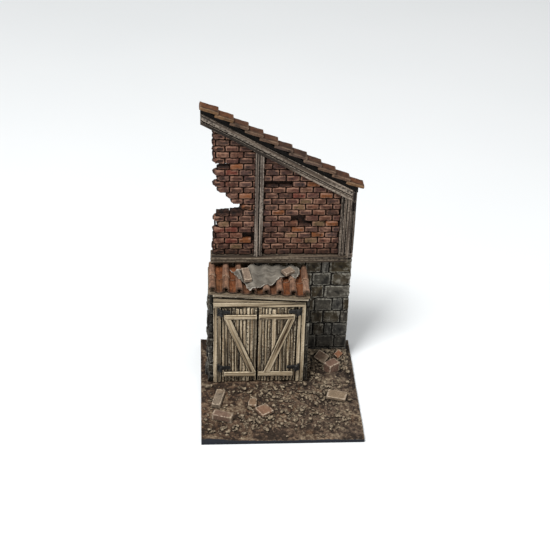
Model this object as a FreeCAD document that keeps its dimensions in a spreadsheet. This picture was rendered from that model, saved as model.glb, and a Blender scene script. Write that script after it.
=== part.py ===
import FreeCAD, Part
import math
import os
import re
import Sketcher

# Miniature terrain ruin: a half-timbered brick gable on a stone wall, with a lean-to shed and two doors.
# Millimetres, +Z up. The origin is the centre of the base's underside. +Y goes from the doors to the wall.
# Places are measured from the base's front left corner, and point() turns them into the origin's frame.

doc = FreeCAD.newDocument("TerrainRuin")
sheet = doc.addObject("Spreadsheet::Sheet", "Sizes")

SIZES = [
    # base
    ("base_width", 75.0), ("base_depth", 75.0), ("plate_thickness", 1.3), ("soil_thickness", 1.1),
    # stone wall, set in from the base's back and right edges, and the rubble bank at its foot
    ("wall_margin", 7.0), ("stone_left", 5.5), ("stone_inset", 2.8), ("stone_thickness", 7.0),
    ("stone_height", 58.6), ("bank_gap", 0.48), ("bank_overhang", 0.4), ("bank_depth", 7.4),
    ("bank_height", 4.6), ("bank_ridge", 0.6), ("bank_chamfer", 0.6),
    # timber frame of the gable
    ("sill_left", 5.0), ("sill_end", 2.6), ("sill_height", 2.5), ("sill_overhang", 3.0),
    ("sill_depth", 8.0), ("timber_proud", 1.5), ("timber_depth", 5.7), ("middle_post_left", 25.5),
    ("middle_post_width", 3.5),
    ("corner_post_inset", 2.5), ("corner_post_width", 4.5), ("rear_post_width", 2.6),
    ("rear_post_setback", 2.0), ("wall_plate_gap", 0.1), ("wall_plate_height", 5.4),
    ("brick_thickness", 3.6), ("brick_left", 5.4), ("brick_joint", 0.05),
    # bricks and stones stand proud of the mortar between them, and the left panel's free end is torn
    ("brick_pitch", 6.28), ("brick_course", 3.03), ("mortar_joint", 0.6), ("mortar_recess", 0.7),
    ("torn_reach", 11.4), ("stone_length", 8.2), ("stone_course", 7.45), ("top_stone_height", 8.1),
    ("stone_joint", 0.6), ("stone_recess", 0.8),
    # verge of the gable roof
    ("roof_slope", 29.4), ("gable_rise", 69.5), ("rafter_left", 0.8), ("rafter_inset", 2.2),
    ("rafter_height", 5.3), ("decking_left", 0.9), ("decking_overhang", 0.2), ("decking_height", 2.2),
    ("decking_recess", 0.9), ("decking_depth", 4.2), ("verge_left", 0.3), ("verge_exposure", 7.58),
    ("verge_lap", 1.1), ("verge_thickness", 1.3), ("verge_depth", 6.4), ("verge_overhang", 0.9),
    ("verge_gap", 0.1),
    # shed walls and door frame
    ("shed_depth", 19.2), ("door_post_left", 6.1), ("door_post_width", 3.4), ("door_post_depth", 3.0),
    ("doorway_width", 36.3), ("doorway_height", 44.9), ("left_wall_thickness", 2.6),
    ("left_wall_batter", 1.7), ("right_wall_thickness", 2.21), ("right_wall_batter", 0.51),
    ("shed_wall_recess", 0.3),
    ("lintel_depth", 3.4), ("lintel_overhang", 0.4),
    # shed roof
    ("lean_to_left", 3.7), ("eave_overhang", 2.5), ("lean_to_height", 56.75), ("lean_to_fall", 3.8),
    ("lean_to_rise", 1.6), ("lean_to_overhang", 1.7), ("roof_back_gap", 0.5), ("board_thickness", 0.8),
    ("board_start", 0.5), ("eave_board_start", 1.4), ("eave_board_height", 1.9),
    ("eave_board_thickness", 0.9), ("eave_board_inset", 2.4), ("eave_board_end", 0.48),
    ("joist_start", 2.5), ("joist_height", 3.4),
    ("joist_width", 1.5), ("joist_inset", 5.0), ("ledger_depth", 2.0), ("ledger_height", 2.4),
    ("roof_gap", 0.15), ("seat_gap", 0.03),
    ("cover_inset", 1.8), ("cover_pitch", 6.23), ("tile_length", 11.3), ("tile_lap", 1.0),
    ("cover_head", 1.05), ("cover_tail", 1.55), ("tile_shell", 0.4), ("cover_seat", 1.9),
    ("pan_head", 3.4), ("pan_tail", 2.92), ("pan_arc", 106.0),
    ("tarp_gap", 0.05), ("tarp_thickness", 0.6), ("tarp_front", 0.6), ("tarp_back", 18.4),
    # doors
    ("plank_thickness", 1.2), ("plank_gap", 0.12), ("leaf_gap", 0.4), ("leaf_foot_gap", 0.6),
    ("leaf_head_gap", 0.4),
    ("left_leaf_width", 16.8), ("ledge_thickness", 0.6), ("ledge_height", 2.4), ("ledge_inset", 1.2),
    ("ledge_end_gap", 0.4), ("low_ledge_rise", 3.6), ("high_ledge_drop", 6.4), ("brace_width", 3.1),
    ("brace_foot_inset", 2.6), ("joint_gap", 0.05),
    ("strap_length", 6.0), ("strap_height", 2.2), ("strap_thickness", 0.5), ("low_strap_rise", 8.6),
    ("high_strap_drop", 2.3), ("eye_radius", 0.8), ("pin_radius", 0.35), ("pin_clearance", 0.06),
    ("eye_wall_gap", 0.1), ("pintle_shelf", 0.5), ("pintle_plate_width", 2.0), ("pintle_plate_height", 4.2),
    ("pintle_plate_thickness", 0.4),
    # bricks that lie about
    ("brick_length", 8.8), ("brick_width", 4.2), ("brick_height", 2.6), ("laid_gap", 0.02),
    ("yard_brick_side", 6.0), ("standing_brick_height", 5.4), ("stone_radius", 1.0),
    ("stone_height_size", 1.0),
]
# Places that follow from the sizes above.
PLACES = [
    ("wall_front", "=base_depth - wall_margin - stone_thickness"),
    ("shed_front", "=wall_front - shed_depth"),
    ("lean_to_eave", "=shed_front - eave_overhang"),
    ("stone_right", "=base_width - stone_inset"),
    ("sill_right", "=stone_right - sill_end"),
    ("corner_post_right", "=stone_right - corner_post_inset"),
    ("corner_post_left", "=corner_post_right - corner_post_width"),
    ("rear_post_right", "=corner_post_right + rear_post_width"),
    ("rafter_right", "=stone_right - rafter_inset"),
    ("decking_right", "=stone_right + decking_overhang"),
    ("shed_right", "=door_post_left + 2 * door_post_width + doorway_width"),
    ("right_wall_outer", "=shed_right + right_wall_thickness"),
    ("bank_left", "=right_wall_outer + right_wall_batter + bank_gap"),
    ("bank_length", "=stone_right + bank_overhang - bank_left"),
    ("lean_to_length", "=shed_right - lean_to_left + lean_to_overhang"),
    ("tarp_lift", "=cover_seat + cover_tail + tarp_gap"),
]
for row, (alias, value) in enumerate(SIZES + PLACES, start=1):
    sheet.set(f"A{row}", alias)
    sheet.set(f"B{row}", str(value))
    sheet.setAlias(f"B{row}", alias)
doc.recompute()

COURSES = 2
LEFT_PLANKS = 6
RIGHT_PLANKS = 6
NAMES = {alias for alias, value in SIZES + PLACES}
parts = []


def cells(text):
    """Writes a sum of named sizes as an expression on the sheet."""
    return re.sub(r"[a-z_]+", lambda name: f"Sizes.{name[0]}" if name[0] in NAMES else name[0], text)


def evaluate(text):
    """Value of a sum of named sizes, read through a spare cell of the sheet."""
    sheet.set("D1", "=" + text)
    sheet.recompute()
    return float(sheet.get("D1"))


def bind(obj, prop, text):
    obj.setExpression(prop, cells(text))


def keep(obj, label):
    """Marks an object as a sub-part that is written under its label."""
    obj.Label = label
    parts.append(obj)
    return obj


# Places that several pieces share, each written once.
GROUND = "(plate_thickness + soil_thickness)"
STONE_TOP = f"({GROUND} + stone_height)"
SILL_TOP = f"({STONE_TOP} + sill_height)"
TIMBER_FRONT = "(wall_front - timber_proud)"
POST_LEFT = "(door_post_left + door_post_width)"
POST_RIGHT = f"({POST_LEFT} + doorway_width)"
DOORWAY_TOP = f"({GROUND} + doorway_height)"
LEAF_FOOT = f"({GROUND} + leaf_foot_gap)"
LEAF_TOP = f"({DOORWAY_TOP} - leaf_head_gap)"
LEFT_LEAF = f"({POST_LEFT} + leaf_gap)"
RIGHT_LEAF = f"({LEFT_LEAF} + left_leaf_width + leaf_gap)"
RIGHT_LEAF_WIDTH = "(doorway_width - 3 * leaf_gap - left_leaf_width)"
PIN_FRONT = "(shed_front - eye_radius - eye_wall_gap)"
LEAN_TO = (
    "placement(vector(lean_to_left - base_width / 2; lean_to_eave - base_depth / 2; lean_to_height);"
    " rotationy(lean_to_fall) * rotationx(lean_to_rise))"
)


def rafter_under(across):
    """Height of the gable rafter's underside at a distance from the base's left edge."""
    return f"({SILL_TOP} + gable_rise - ({across}) * tan(roof_slope))"


def under_roof(across, inward, below):
    """Height of a plane that lies a given depth below the shed roof's boards, at a place under the roof."""
    return (
        f"(lean_to_height - ({across} - lean_to_left) * tan(lean_to_fall)"
        f" + (({inward}) * sin(lean_to_rise) - ({below}) * cos(lean_to_rise)) / cos(lean_to_fall))"
    )


def point(x, y, z):
    return f"vector({x} - base_width / 2; {y} - base_depth / 2; {z})"


def box(name, x, y, z, length, depth, height, turn="rotationz(0)"):
    """A block whose near lower left corner is at x, y, z and that turns about that corner."""
    block = doc.addObject("Part::Box", name)
    bind(block, "Length", length)
    bind(block, "Width", depth)
    bind(block, "Height", height)
    bind(block, "Placement", f"placement({point(x, y, z)}; {turn})")
    return block


def roof_box(name, along, inward, up, length, depth, height, turn="rotationz(0)"):
    """A block that lies on the shed roof's own slope, measured from the eave's left end."""
    block = doc.addObject("Part::Box", name)
    bind(block, "Length", length)
    bind(block, "Width", depth)
    bind(block, "Height", height)
    bind(block, "Placement", f"{LEAN_TO} * placement(vector({along}; {inward}; {up}); {turn})")
    return block


def outline_body(name, plane, corners, thickness, start):
    """A closed outline of bound corners, padded into a plate. The guess only gives the solver its start."""
    body = doc.addObject("PartDesign::Body", name)
    sketch = body.newObject("Sketcher::SketchObject", name + "Outline")
    base_plane = [feature for feature in body.Origin.OriginFeatures if feature.Role == plane][0]
    sketch.AttachmentSupport = [(base_plane, "")]
    sketch.MapMode = "FlatFace"
    guess = [FreeCAD.Vector(*[evaluate(part) for part in corner]) for corner in corners]
    count = len(corners)
    for index in range(count):
        line = Part.LineSegment(guess[index], guess[(index + 1) % count])
        sketch.addGeometry(line, False)
    for index in range(count):
        sketch.addConstraint(Sketcher.Constraint("Coincident", index, 2, (index + 1) % count, 1))
    for index, corner in enumerate(corners):
        start_values = (guess[index].x, guess[index].y)
        for kind, text, value in zip(("DistanceX", "DistanceY"), corner, start_values):
            number = sketch.addConstraint(Sketcher.Constraint(kind, -1, 1, index, 1, value))
            sketch.setExpression(f"Constraints[{number}]", cells(text))
    pad = body.newObject("PartDesign::Pad", name + "Pad")
    pad.Profile = sketch
    bind(pad, "Length", thickness)
    pad.Reversed = plane == "XZ_Plane"
    bind(body, "Placement", start)
    return body


def wall_body(name, corners, y, depth):
    """An upright plate: its outline is seen from the front, and y is its front face."""
    start = f"placement({point('0', y, '0')}; rotationz(0))"
    return outline_body(name, "XZ_Plane", corners, depth, start)


def fuse(name, members):
    joined = doc.addObject("Part::MultiFuse", name)
    joined.Shapes = members
    return joined


def cut(name, base, tool):
    result = doc.addObject("Part::Cut", name)
    result.Base = base
    result.Tool = tool
    return result


def within(name, envelope, shape):
    """The share of a shape that lies inside an envelope."""
    result = doc.addObject("Part::MultiCommon", name)
    result.Shapes = [envelope, shape]
    return result


def group(label, members):
    """Identical loose pieces that share one node, each still a solid of its own."""
    compound = doc.addObject("Part::Compound", label)
    compound.Links = members
    return keep(compound, label)


# --- base and lower wall --------------------------------------------------------------------------
keep(box("BasePlate", "0", "0", "0", "base_width", "base_depth", "plate_thickness"), "base_plate")
keep(box("Soil", "0", "0", "plate_thickness", "base_width", "base_depth", "soil_thickness"), "ground_layer")
# Lengths of each course's stones from the wall's right end, from the top course down, as shares of
# stone_length, and the lengths that follow by turns further left.
END_STONES = [
    (1.34, 0.43, 0.94), (1.17, 1.11), (1.55, 0.79), (0.39, 0.63, 1.04), (0.48, 1.05, 0.76),
    (0.95, 0.49, 0.66), (0.76, 1.10), (1.12, 1.16),
]
FURTHER_STONES = (1.0, 1.25, 0.85)
SHORTEST_STONE = 0.55


def stone_joints(course):
    """How far the joints of a course lie from the wall's right end, as shares of stone_length."""
    wall_length = evaluate("(stone_right - stone_left) / stone_length")
    shares = list(END_STONES[min(course, len(END_STONES) - 1)])
    while sum(shares) < wall_length - SHORTEST_STONE:
        shares.append(FURTHER_STONES[(course + len(shares)) % len(FURTHER_STONES)])
    return [round(sum(shares[:count]), 2) for count in range(len(shares))]


def stone_wall():
    """Courses of squared stones, as deep as the wall, proud of a core of mortar on every side."""
    core_length = "stone_right - stone_left - 2 * stone_recess"
    core = box("StoneCore", "stone_left + stone_recess", "wall_front + stone_recess", GROUND, core_length,
               "stone_thickness - 2 * stone_recess", "stone_height")
    blocks = []
    top = STONE_TOP
    for course in range(1 + math.ceil(evaluate("(stone_height - top_stone_height) / stone_course"))):
        foot = f"max({GROUND}; {STONE_TOP} - top_stone_height - {course} * stone_course)"
        joints = stone_joints(course)
        for index, joint in enumerate(joints):
            right = f"(stone_right - {joint} * stone_length)"
            left = "stone_left"
            if index + 1 < len(joints):
                left = f"(stone_right - {joints[index + 1]} * stone_length + stone_joint)"
            blocks.append(
                box(f"WallStone{course}x{index}", left, "wall_front", f"{foot} + stone_joint",
                    f"{right} - {left}", "stone_thickness", f"{top} - {foot} - stone_joint")
            )
        top = foot
    return fuse("StoneWall", [core] + blocks)


keep(stone_wall(), "stone_wall")

bank = doc.addObject("Part::Wedge", "RubbleBank")
bank.Xmin = 0
bank.Ymin = 0
bank.Zmin = 0
bank.Z2min = 0
bind(bank, "Xmax", "bank_length")
bind(bank, "Ymax", "bank_height")
bind(bank, "Zmax", "bank_depth")
bind(bank, "X2min", "bank_chamfer")
bind(bank, "X2max", "bank_length - bank_chamfer")
bind(bank, "Z2max", "bank_ridge")
bind(bank, "Placement", f"placement({point('bank_left', 'wall_front', GROUND)}; rotationx(90))")
keep(bank, "rubble_bank")

# --- timber frame of the gable --------------------------------------------------------------------
sill_front = "(wall_front - sill_overhang)"
sill_length = "sill_right - sill_left"
keep(
    box("SillBeam", "sill_left", sill_front, STONE_TOP, sill_length, "sill_depth", "sill_height"),
    "sill_beam",
)


def post_under_rafter(name, left, width):
    right = f"({left} + {width})"
    corners = [
        (left, SILL_TOP),
        (right, SILL_TOP),
        (right, rafter_under(right)),
        (left, rafter_under(left)),
    ]
    return wall_body(name, corners, TIMBER_FRONT, "timber_depth")


keep(post_under_rafter("MiddlePost", "middle_post_left", "middle_post_width"), "middle_post")
keep(post_under_rafter("CornerPost", "corner_post_left", "corner_post_width"), "corner_post")

# The rear corner post stands on its pad and carries the wall plate, which lies just under the decking.
rear_post_front = f"({TIMBER_FRONT} + rear_post_setback)"
rear_post_depth = "(timber_depth - rear_post_setback)"
wall_plate_top = f"({rafter_under('rear_post_right')} + rafter_height - wall_plate_gap)"
wall_plate_foot = f"({wall_plate_top} - wall_plate_height)"
wall_plate_left = "(rafter_right + brick_joint)"
keep(
    box("RearPost", "corner_post_right", rear_post_front, SILL_TOP, "rear_post_width", rear_post_depth,
        f"{wall_plate_foot} - {SILL_TOP}"),
    "rear_corner_post",
)
keep(
    box("WallPlate", wall_plate_left, rear_post_front, wall_plate_foot,
        f"rear_post_right - {wall_plate_left}", rear_post_depth, "wall_plate_height"),
    "wall_plate",
)
keep(
    box("RearPad", "sill_right", rear_post_front, STONE_TOP, "rear_post_right - sill_right",
        rear_post_depth, "sill_height"),
    "rear_post_pad",
)


def sloped_strip(name, left, right, lift, height, y, depth):
    """A board of constant upright height that follows the gable's slope."""
    top = f"{lift} + {height}"
    corners = []
    for across, rise in ((left, lift), (right, lift), (right, top), (left, top)):
        corners.append((across, f"{rafter_under(across)} + {rise}"))
    return wall_body(name, corners, y, depth)


keep(
    sloped_strip("Rafter", "rafter_left", "rafter_right", "0", "rafter_height", TIMBER_FRONT,
                 "timber_depth"),
    "rafter_beam",
)
keep(
    sloped_strip("Decking", "decking_left", "decking_right", "rafter_height", "decking_height",
                 f"{TIMBER_FRONT} + decking_recess", "decking_depth"),
    "roof_decking",
)

# Each verge tile leans back on the decking with its head and rests its tail on the next tile's head.
tile_tilt = "atan((verge_thickness + verge_gap) / verge_exposure) / 1deg"
verge_count = round(evaluate("(decking_right - verge_left) / (verge_exposure * cos(roof_slope))"))
verge_tiles = []
for index in range(verge_count):
    head = f"(verge_left + {index} * verge_exposure * cos(roof_slope))"
    head_height = f"({rafter_under(head)} + rafter_height + decking_height + verge_gap / 2)"
    verge_tiles.append(
        box(f"VergeTile{index + 1}", head, f"{TIMBER_FRONT} - verge_overhang", head_height,
            "verge_exposure + verge_lap", "verge_depth", "verge_thickness",
            f"rotationy(roof_slope - {tile_tilt})")
    )
group("verge_tiles", verge_tiles)

# --- brick panels between the timbers -------------------------------------------------------------
# How far in each course of the left panel starts, from the sill up, as shares of the deepest notch.
TORN_EDGE = [
    0, 0, 0.04, 0.04, 0.04, 0.18, 0.04, 0.16, 1, 0.66, 0.49, 0.14, 0.05, 0.06, 0.06, 0.06, 0.04, 0.04, 0.03,
]
STRAIGHT_EDGE = [0]
# Place of the first upright joint in even and odd courses, as shares of brick_pitch from the panel's edge.
LEFT_BOND = (1, 0.34)
RIGHT_BOND = (0.14, 0.65)
# Bricks that have fallen out: course and number in the course.
LEFT_HOLES = [(3, 3)]
RIGHT_HOLES = [(6, 3)]
CHIPPED_COURSE = 15  # the left panel's first brick in this course has lost its top
CHIPPED_SHARE = 0.5
SHORTEST_BRICK = 0.2  # share of brick_pitch below which the mortar fills the space


def course_of_bricks(name, start, end, first_joint, foot, missing):
    """The bricks of one course from its start to its end, each between two upright joints."""
    pitch = evaluate("brick_pitch")
    shortest = SHORTEST_BRICK * pitch
    low, high, joint = evaluate(start), evaluate(end), evaluate(first_joint)
    bricks = []
    for index in range(math.ceil((high - joint) / pitch) + 1):
        brick_right = joint + index * pitch
        too_short = brick_right < low + shortest or brick_right - pitch > high - shortest
        if too_short or index in missing:
            continue
        right = f"min({end}; {first_joint} + {index} * brick_pitch - mortar_joint / 2)"
        left = f"max({start}; {first_joint} + {index - 1} * brick_pitch + mortar_joint / 2)"
        bricks.append(
            box(f"{name}Brick{index}", left, "wall_front", f"{foot} + mortar_joint", f"{right} - {left}",
                "brick_thickness", "brick_course - mortar_joint")
        )
    return bricks


def mortar_strip(name, start, end, foot, height):
    return box(f"{name}Mortar", start, "wall_front + mortar_recess", foot, f"{end} - {start}",
               "brick_thickness - 2 * mortar_recess", height)


def brick_panel(name, left, right, torn, bond, holes):
    """Bricks in stretcher bond up to the rafter, on a core of mortar that is cut into the same courses."""
    corners = [
        (left, f"{SILL_TOP} + brick_joint"),
        (right, f"{SILL_TOP} + brick_joint"),
        (right, f"{rafter_under(right)} - brick_joint"),
        (left, f"{rafter_under(left)} - brick_joint"),
    ]
    pieces = []
    for course in range(math.ceil(evaluate(f"({rafter_under(left)} - {SILL_TOP}) / brick_course"))):
        label = f"{name}Course{course}"
        foot = f"({SILL_TOP} + {course} * brick_course)"
        start = f"({left} + torn_reach * {torn[min(course, len(torn) - 1)]})"
        first_joint = f"({left} + brick_pitch * {bond[course % 2]})"
        missing = [brick for hole_course, brick in holes if hole_course == course]
        bricks = course_of_bricks(label, start, right, first_joint, foot, missing)
        mortar_start = f"({start} + mortar_joint)"
        if torn is TORN_EDGE and course == CHIPPED_COURSE:
            low_height = f"brick_course * {CHIPPED_SHARE}"
            bind(bricks[0], "Height", low_height)
            pieces.append(mortar_strip(f"{label}Low", mortar_start, right, foot, low_height))
            mortar_start = f"({first_joint} + brick_pitch)"
        pieces.append(mortar_strip(label, mortar_start, right, foot, "brick_course"))
        pieces.extend(bricks)
    envelope = wall_body(f"{name}Envelope", corners, "wall_front", "brick_thickness")
    return within(name, envelope, fuse(f"{name}Bricks", pieces))


left_end = "(middle_post_left - brick_joint)"
right_start = "(middle_post_left + middle_post_width + brick_joint)"
right_end = "(corner_post_left - brick_joint)"
keep(
    brick_panel("LeftPanel", "brick_left", left_end, TORN_EDGE, LEFT_BOND, LEFT_HOLES),
    "brick_panel_left",
)
keep(
    brick_panel("RightPanel", right_start, right_end, STRAIGHT_EDGE, RIGHT_BOND, RIGHT_HOLES),
    "brick_panel_right",
)

# --- shed walls and door frame --------------------------------------------------------------------
shed_wall_front = "(shed_front + shed_wall_recess)"
shed_wall_depth = f"(wall_front - {shed_wall_front} - seat_gap)"


def roof_seat(across):
    """Top of a shed wall: just under the roof boards where they are lowest, above the wall's front end."""
    return under_roof(across, "board_start", "board_thickness + roof_gap")


left_outer = "(door_post_left - left_wall_thickness)"
left_wall_corners = [
    (f"{left_outer} - left_wall_batter", GROUND),
    ("door_post_left", GROUND),
    ("door_post_left", roof_seat("door_post_left")),
    (left_outer, roof_seat(left_outer)),
]
keep(wall_body("ShedWallLeft", left_wall_corners, shed_wall_front, shed_wall_depth), "shed_wall_left")

right_wall_corners = [
    ("shed_right", GROUND),
    ("right_wall_outer + right_wall_batter", GROUND),
    ("right_wall_outer", roof_seat("right_wall_outer")),
    ("shed_right", roof_seat("shed_right")),
]
keep(wall_body("ShedWallRight", right_wall_corners, shed_wall_front, shed_wall_depth), "shed_wall_right")

keep(
    box("PostLeft", "door_post_left", "shed_front", GROUND, "door_post_width", "door_post_depth",
        "doorway_height"),
    "door_post_left",
)
keep(
    box("PostRight", POST_RIGHT, "shed_front", GROUND, "door_post_width", "door_post_depth",
        "doorway_height"),
    "door_post_right",
)


def joist_seat(across, inward):
    return under_roof(across, inward, "board_thickness + joist_height + seat_gap")


lintel_left = "(door_post_left + seat_gap)"
lintel_right = "(shed_right - seat_gap)"
lintel_corners = [
    (lintel_left, DOORWAY_TOP),
    (lintel_right, DOORWAY_TOP),
    (lintel_right, joist_seat(lintel_right, "joist_start")),
    (lintel_left, joist_seat(lintel_left, "joist_start")),
]
keep(wall_body("Lintel", lintel_corners, "shed_front - lintel_overhang", "lintel_depth"), "door_lintel")

# --- shed roof ------------------------------------------------------------------------------------
ledger_inward = "(wall_front - ledger_depth - lean_to_eave)"
ledger_corners = [
    (lintel_left, f"{joist_seat(lintel_left, ledger_inward)} - ledger_height"),
    (lintel_right, f"{joist_seat(lintel_right, ledger_inward)} - ledger_height"),
    (lintel_right, joist_seat(lintel_right, ledger_inward)),
    (lintel_left, joist_seat(lintel_left, ledger_inward)),
]
keep(wall_body("Ledger", ledger_corners, "wall_front - ledger_depth", "ledger_depth"), "roof_ledger")

roof_run = "(wall_front - lean_to_eave - roof_back_gap)"
joists = []
joist_count = 4
joist_span = "(lean_to_length - 2 * joist_inset - joist_width)"
for index in range(joist_count):
    along = f"(joist_inset + {index} * {joist_span} / {joist_count - 1})"
    joists.append(
        roof_box(f"Joist{index + 1}", along, "joist_start", "0 - board_thickness - joist_height",
                 "joist_width", f"{roof_run} - joist_start", "joist_height")
    )
group("roof_joists", joists)
keep(
    roof_box("RoofBoards", "0", "board_start", "0 - board_thickness", "lean_to_length",
             f"{roof_run} - board_start", "board_thickness"),
    "roof_boards",
)
keep(
    roof_box("EaveBoard", "eave_board_inset", "eave_board_start", "0 - board_thickness - eave_board_height",
             "lean_to_length - eave_board_inset - eave_board_end", "eave_board_thickness",
             "eave_board_height"),
    "eave_board",
)


def half_pipe(name, place, low_radius, high_radius, arc):
    """A tapered curved tile: an arc of a cone's shell. Its axis runs up the slope from its low end."""
    shell = doc.addObject("Part::Cone", name + "Shell")
    bore = doc.addObject("Part::Cone", name + "Bore")
    for cone, inset in ((shell, "0"), (bore, "tile_shell")):
        bind(cone, "Radius1", f"{low_radius} - {inset}")
        bind(cone, "Radius2", f"{high_radius} - {inset}")
        bind(cone, "Height", "tile_length")
        bind(cone, "Placement", place)
    bind(shell, "Angle", arc)
    bore.Angle = 360
    tile = doc.addObject("Part::Cut", name)
    tile.Base = shell
    tile.Tool = bore
    return tile


def tile_place(along, course, up, start_angle):
    """Lays a tile's axis up the slope and turns its arc to start at an angle above the horizontal."""
    inward = f"{course} * (tile_length - tile_lap)"
    return (
        f"{LEAN_TO} * placement(vector({along}; {inward}; {up});"
        f" rotationx(-90) * rotationz({start_angle}))"
    )


cover_tiles = []
pan_tiles = []
pan_axis = "(pan_head + seat_gap)"
cover_columns = round(evaluate("(lean_to_length - 2 * cover_inset) / cover_pitch")) + 1
for course in range(COURSES):
    for column in range(cover_columns):
        along = f"(cover_inset + {column} * cover_pitch)"
        place = tile_place(along, course, "cover_seat", "180")
        name = f"{course + 1}x{column + 1}"
        cover_tiles.append(half_pipe("Cover" + name, place, "cover_tail", "cover_head", "180"))
        if column < cover_columns - 1:
            between = f"({along} + cover_pitch / 2)"
            place = tile_place(between, course, pan_axis, "(180 - pan_arc) / 2")
            pan_tiles.append(half_pipe("Pan" + name, place, "pan_tail", "pan_head", "pan_arc"))
group("cover_tiles", cover_tiles)
group("pan_tiles", pan_tiles)

# The tarpaulin is a flat sheet here, as high as the crests of the tiles that it lies on.
tarp_reach = "(tarp_back - tarp_front)"
TARP_OUTLINE = [  # share of the roof's length, share of the tarpaulin's reach up the roof
    (0.18, 1.0), (0.19, 0.81), (0.275, 0.38), (0.35, 0.24), (0.39, 0.0), (0.50, 0.04),
    (0.63, 0.11), (0.76, 0.40), (0.86, 0.31), (0.91, 0.54), (0.925, 0.77), (0.90, 1.0),
]
tarp_corners = [
    (f"lean_to_length * {along}", f"tarp_front + {tarp_reach} * {inward}") for along, inward in TARP_OUTLINE
]
tarp_place = f"{LEAN_TO} * placement(vector(0; 0; tarp_lift); rotationz(0))"
keep(outline_body("Tarp", "XY_Plane", tarp_corners, "tarp_thickness", tarp_place), "tarpaulin")
tarp_top = "(tarp_lift + tarp_thickness + laid_gap)"
group(
    "tarp_bricks",
    [
        roof_box("TarpBrickLeft", "lean_to_length * 0.36", "tarp_front + 2.3", tarp_top,
                 "brick_width * 0.81", "brick_length * 1.09", "brick_height", "rotationz(8)"),
        roof_box("TarpBrickRight", "lean_to_length * 0.765", "tarp_front + 7.3", tarp_top,
                 "brick_length * 0.6", "brick_width * 0.95", "brick_height", "rotationz(36)"),
    ],
)

# --- doors ----------------------------------------------------------------------------------------
low_ledge = f"({LEAF_FOOT} + low_ledge_rise)"
high_ledge = f"({LEAF_TOP} - high_ledge_drop)"
low_strap = f"({LEAF_FOOT} + low_strap_rise)"
high_strap = f"({LEAF_TOP} - high_strap_drop)"


def leaf(side, left, width, planks, hinge_side, foot_inset):
    """One ledged and braced leaf with its strap hinges. hinge_side is -1 for a left leaf, 1 for a right."""
    plank_width = f"(({width} - {planks - 1} * plank_gap) / {planks})"
    boards = []
    for index in range(planks):
        x = f"({left} + {index} * ({plank_width} + plank_gap))"
        boards.append(
            box(f"{side}Plank{index + 1}", x, "shed_front", LEAF_FOOT, plank_width, "plank_thickness",
                f"{LEAF_TOP} - {LEAF_FOOT}")
        )
    group(f"{side}_door_planks", boards)

    ledge_left = f"({left} + ledge_inset)" if hinge_side < 0 else f"({left} + ledge_end_gap)"
    ledge_length = f"({width} - ledge_inset - ledge_end_gap)"
    for name, height in (("bottom_ledge", low_ledge), ("top_ledge", high_ledge)):
        keep(
            box(f"{side}_{name}", ledge_left, "shed_front - ledge_thickness", height, ledge_length,
                "ledge_thickness", "ledge_height"),
            f"{side}_door_{name}",
        )

    foot = f"({low_ledge} + ledge_height + joint_gap)"
    top = f"({high_ledge} - joint_gap)"
    ledge_right = f"({ledge_left} + {ledge_length})"
    if hinge_side < 0:
        near, far = ledge_left, f"({ledge_right} - {foot_inset})"
        corners = [(f"{far} - brace_width", foot), (far, foot), (f"{near} + brace_width", top), (near, top)]
    else:
        near, far = f"({ledge_left} + {foot_inset})", ledge_right
        corners = [(near, foot), (f"{near} + brace_width", foot), (far, top), (f"{far} - brace_width", top)]
    brace = wall_body(f"{side}_brace", corners, "shed_front - ledge_thickness", "ledge_thickness")
    keep(brace, f"{side}_door_brace")

    pin_x = f"({left} - leaf_gap / 2)" if hinge_side < 0 else f"({left} + {width} + leaf_gap / 2)"
    strap_left = pin_x if hinge_side < 0 else f"({pin_x} - strap_length)"
    straps = []
    pintles = []
    for name, height in (("Low", low_strap), ("High", high_strap)):
        strap = box(f"{side}{name}Blade", strap_left, "shed_front - strap_thickness",
                    f"{height} - strap_height / 2", "strap_length", "strap_thickness", "strap_height")
        eye = cylinder(f"{side}{name}Eye", pin_x, PIN_FRONT, f"{height} - strap_height / 2", "eye_radius",
                       "strap_height")
        bore = cylinder(f"{side}{name}Bore", pin_x, PIN_FRONT, f"{height} - strap_height",
                        "pin_radius + pin_clearance", "2 * strap_height")
        straps.append(cut(f"{side}{name}Strap", fuse(f"{side}{name}Solid", [strap, eye]), bore))
        pintles.append(pintle(side + name, pin_x, height, hinge_side))
    group(f"{side}_door_straps", straps)
    group(f"{side}_door_pintles", pintles)


def cylinder(name, x, y, z, radius, height):
    pin = doc.addObject("Part::Cylinder", name)
    bind(pin, "Radius", radius)
    bind(pin, "Height", height)
    bind(pin, "Placement", f"placement({point(x, y, z)}; rotationz(0))")
    return pin


def pintle(name, pin_x, height, hinge_side):
    """Plate on the post with a shelf below the strap's eye and the pin that stands up through it."""
    shelf_top = f"({height} - strap_height / 2 - pin_clearance)"
    shelf_low = f"({shelf_top} - pintle_shelf)"
    plate_low = f"({height} - pintle_plate_height / 2)"
    reach = "(eye_radius + eye_wall_gap + pintle_plate_width)"
    plate_left = f"({pin_x} - {reach})" if hinge_side < 0 else f"({pin_x} + eye_radius + eye_wall_gap)"
    plate = box(f"{name}Plate", plate_left, "shed_front - pintle_plate_thickness", plate_low,
                "pintle_plate_width", "pintle_plate_thickness", "pintle_plate_height")
    arm_left = f"({pin_x} - {reach})" if hinge_side < 0 else pin_x
    arm = box(f"{name}Arm", arm_left, PIN_FRONT, shelf_low, reach, "eye_radius + eye_wall_gap",
              "pintle_shelf")
    shelf = cylinder(f"{name}Shelf", pin_x, PIN_FRONT, shelf_low, "eye_radius", "pintle_shelf")
    pin = cylinder(f"{name}Pin", pin_x, PIN_FRONT, shelf_low, "pin_radius",
                   "pintle_shelf + strap_height + 4 * pin_clearance")
    return fuse(f"{name}Pintle", [plate, arm, shelf, pin])


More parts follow.
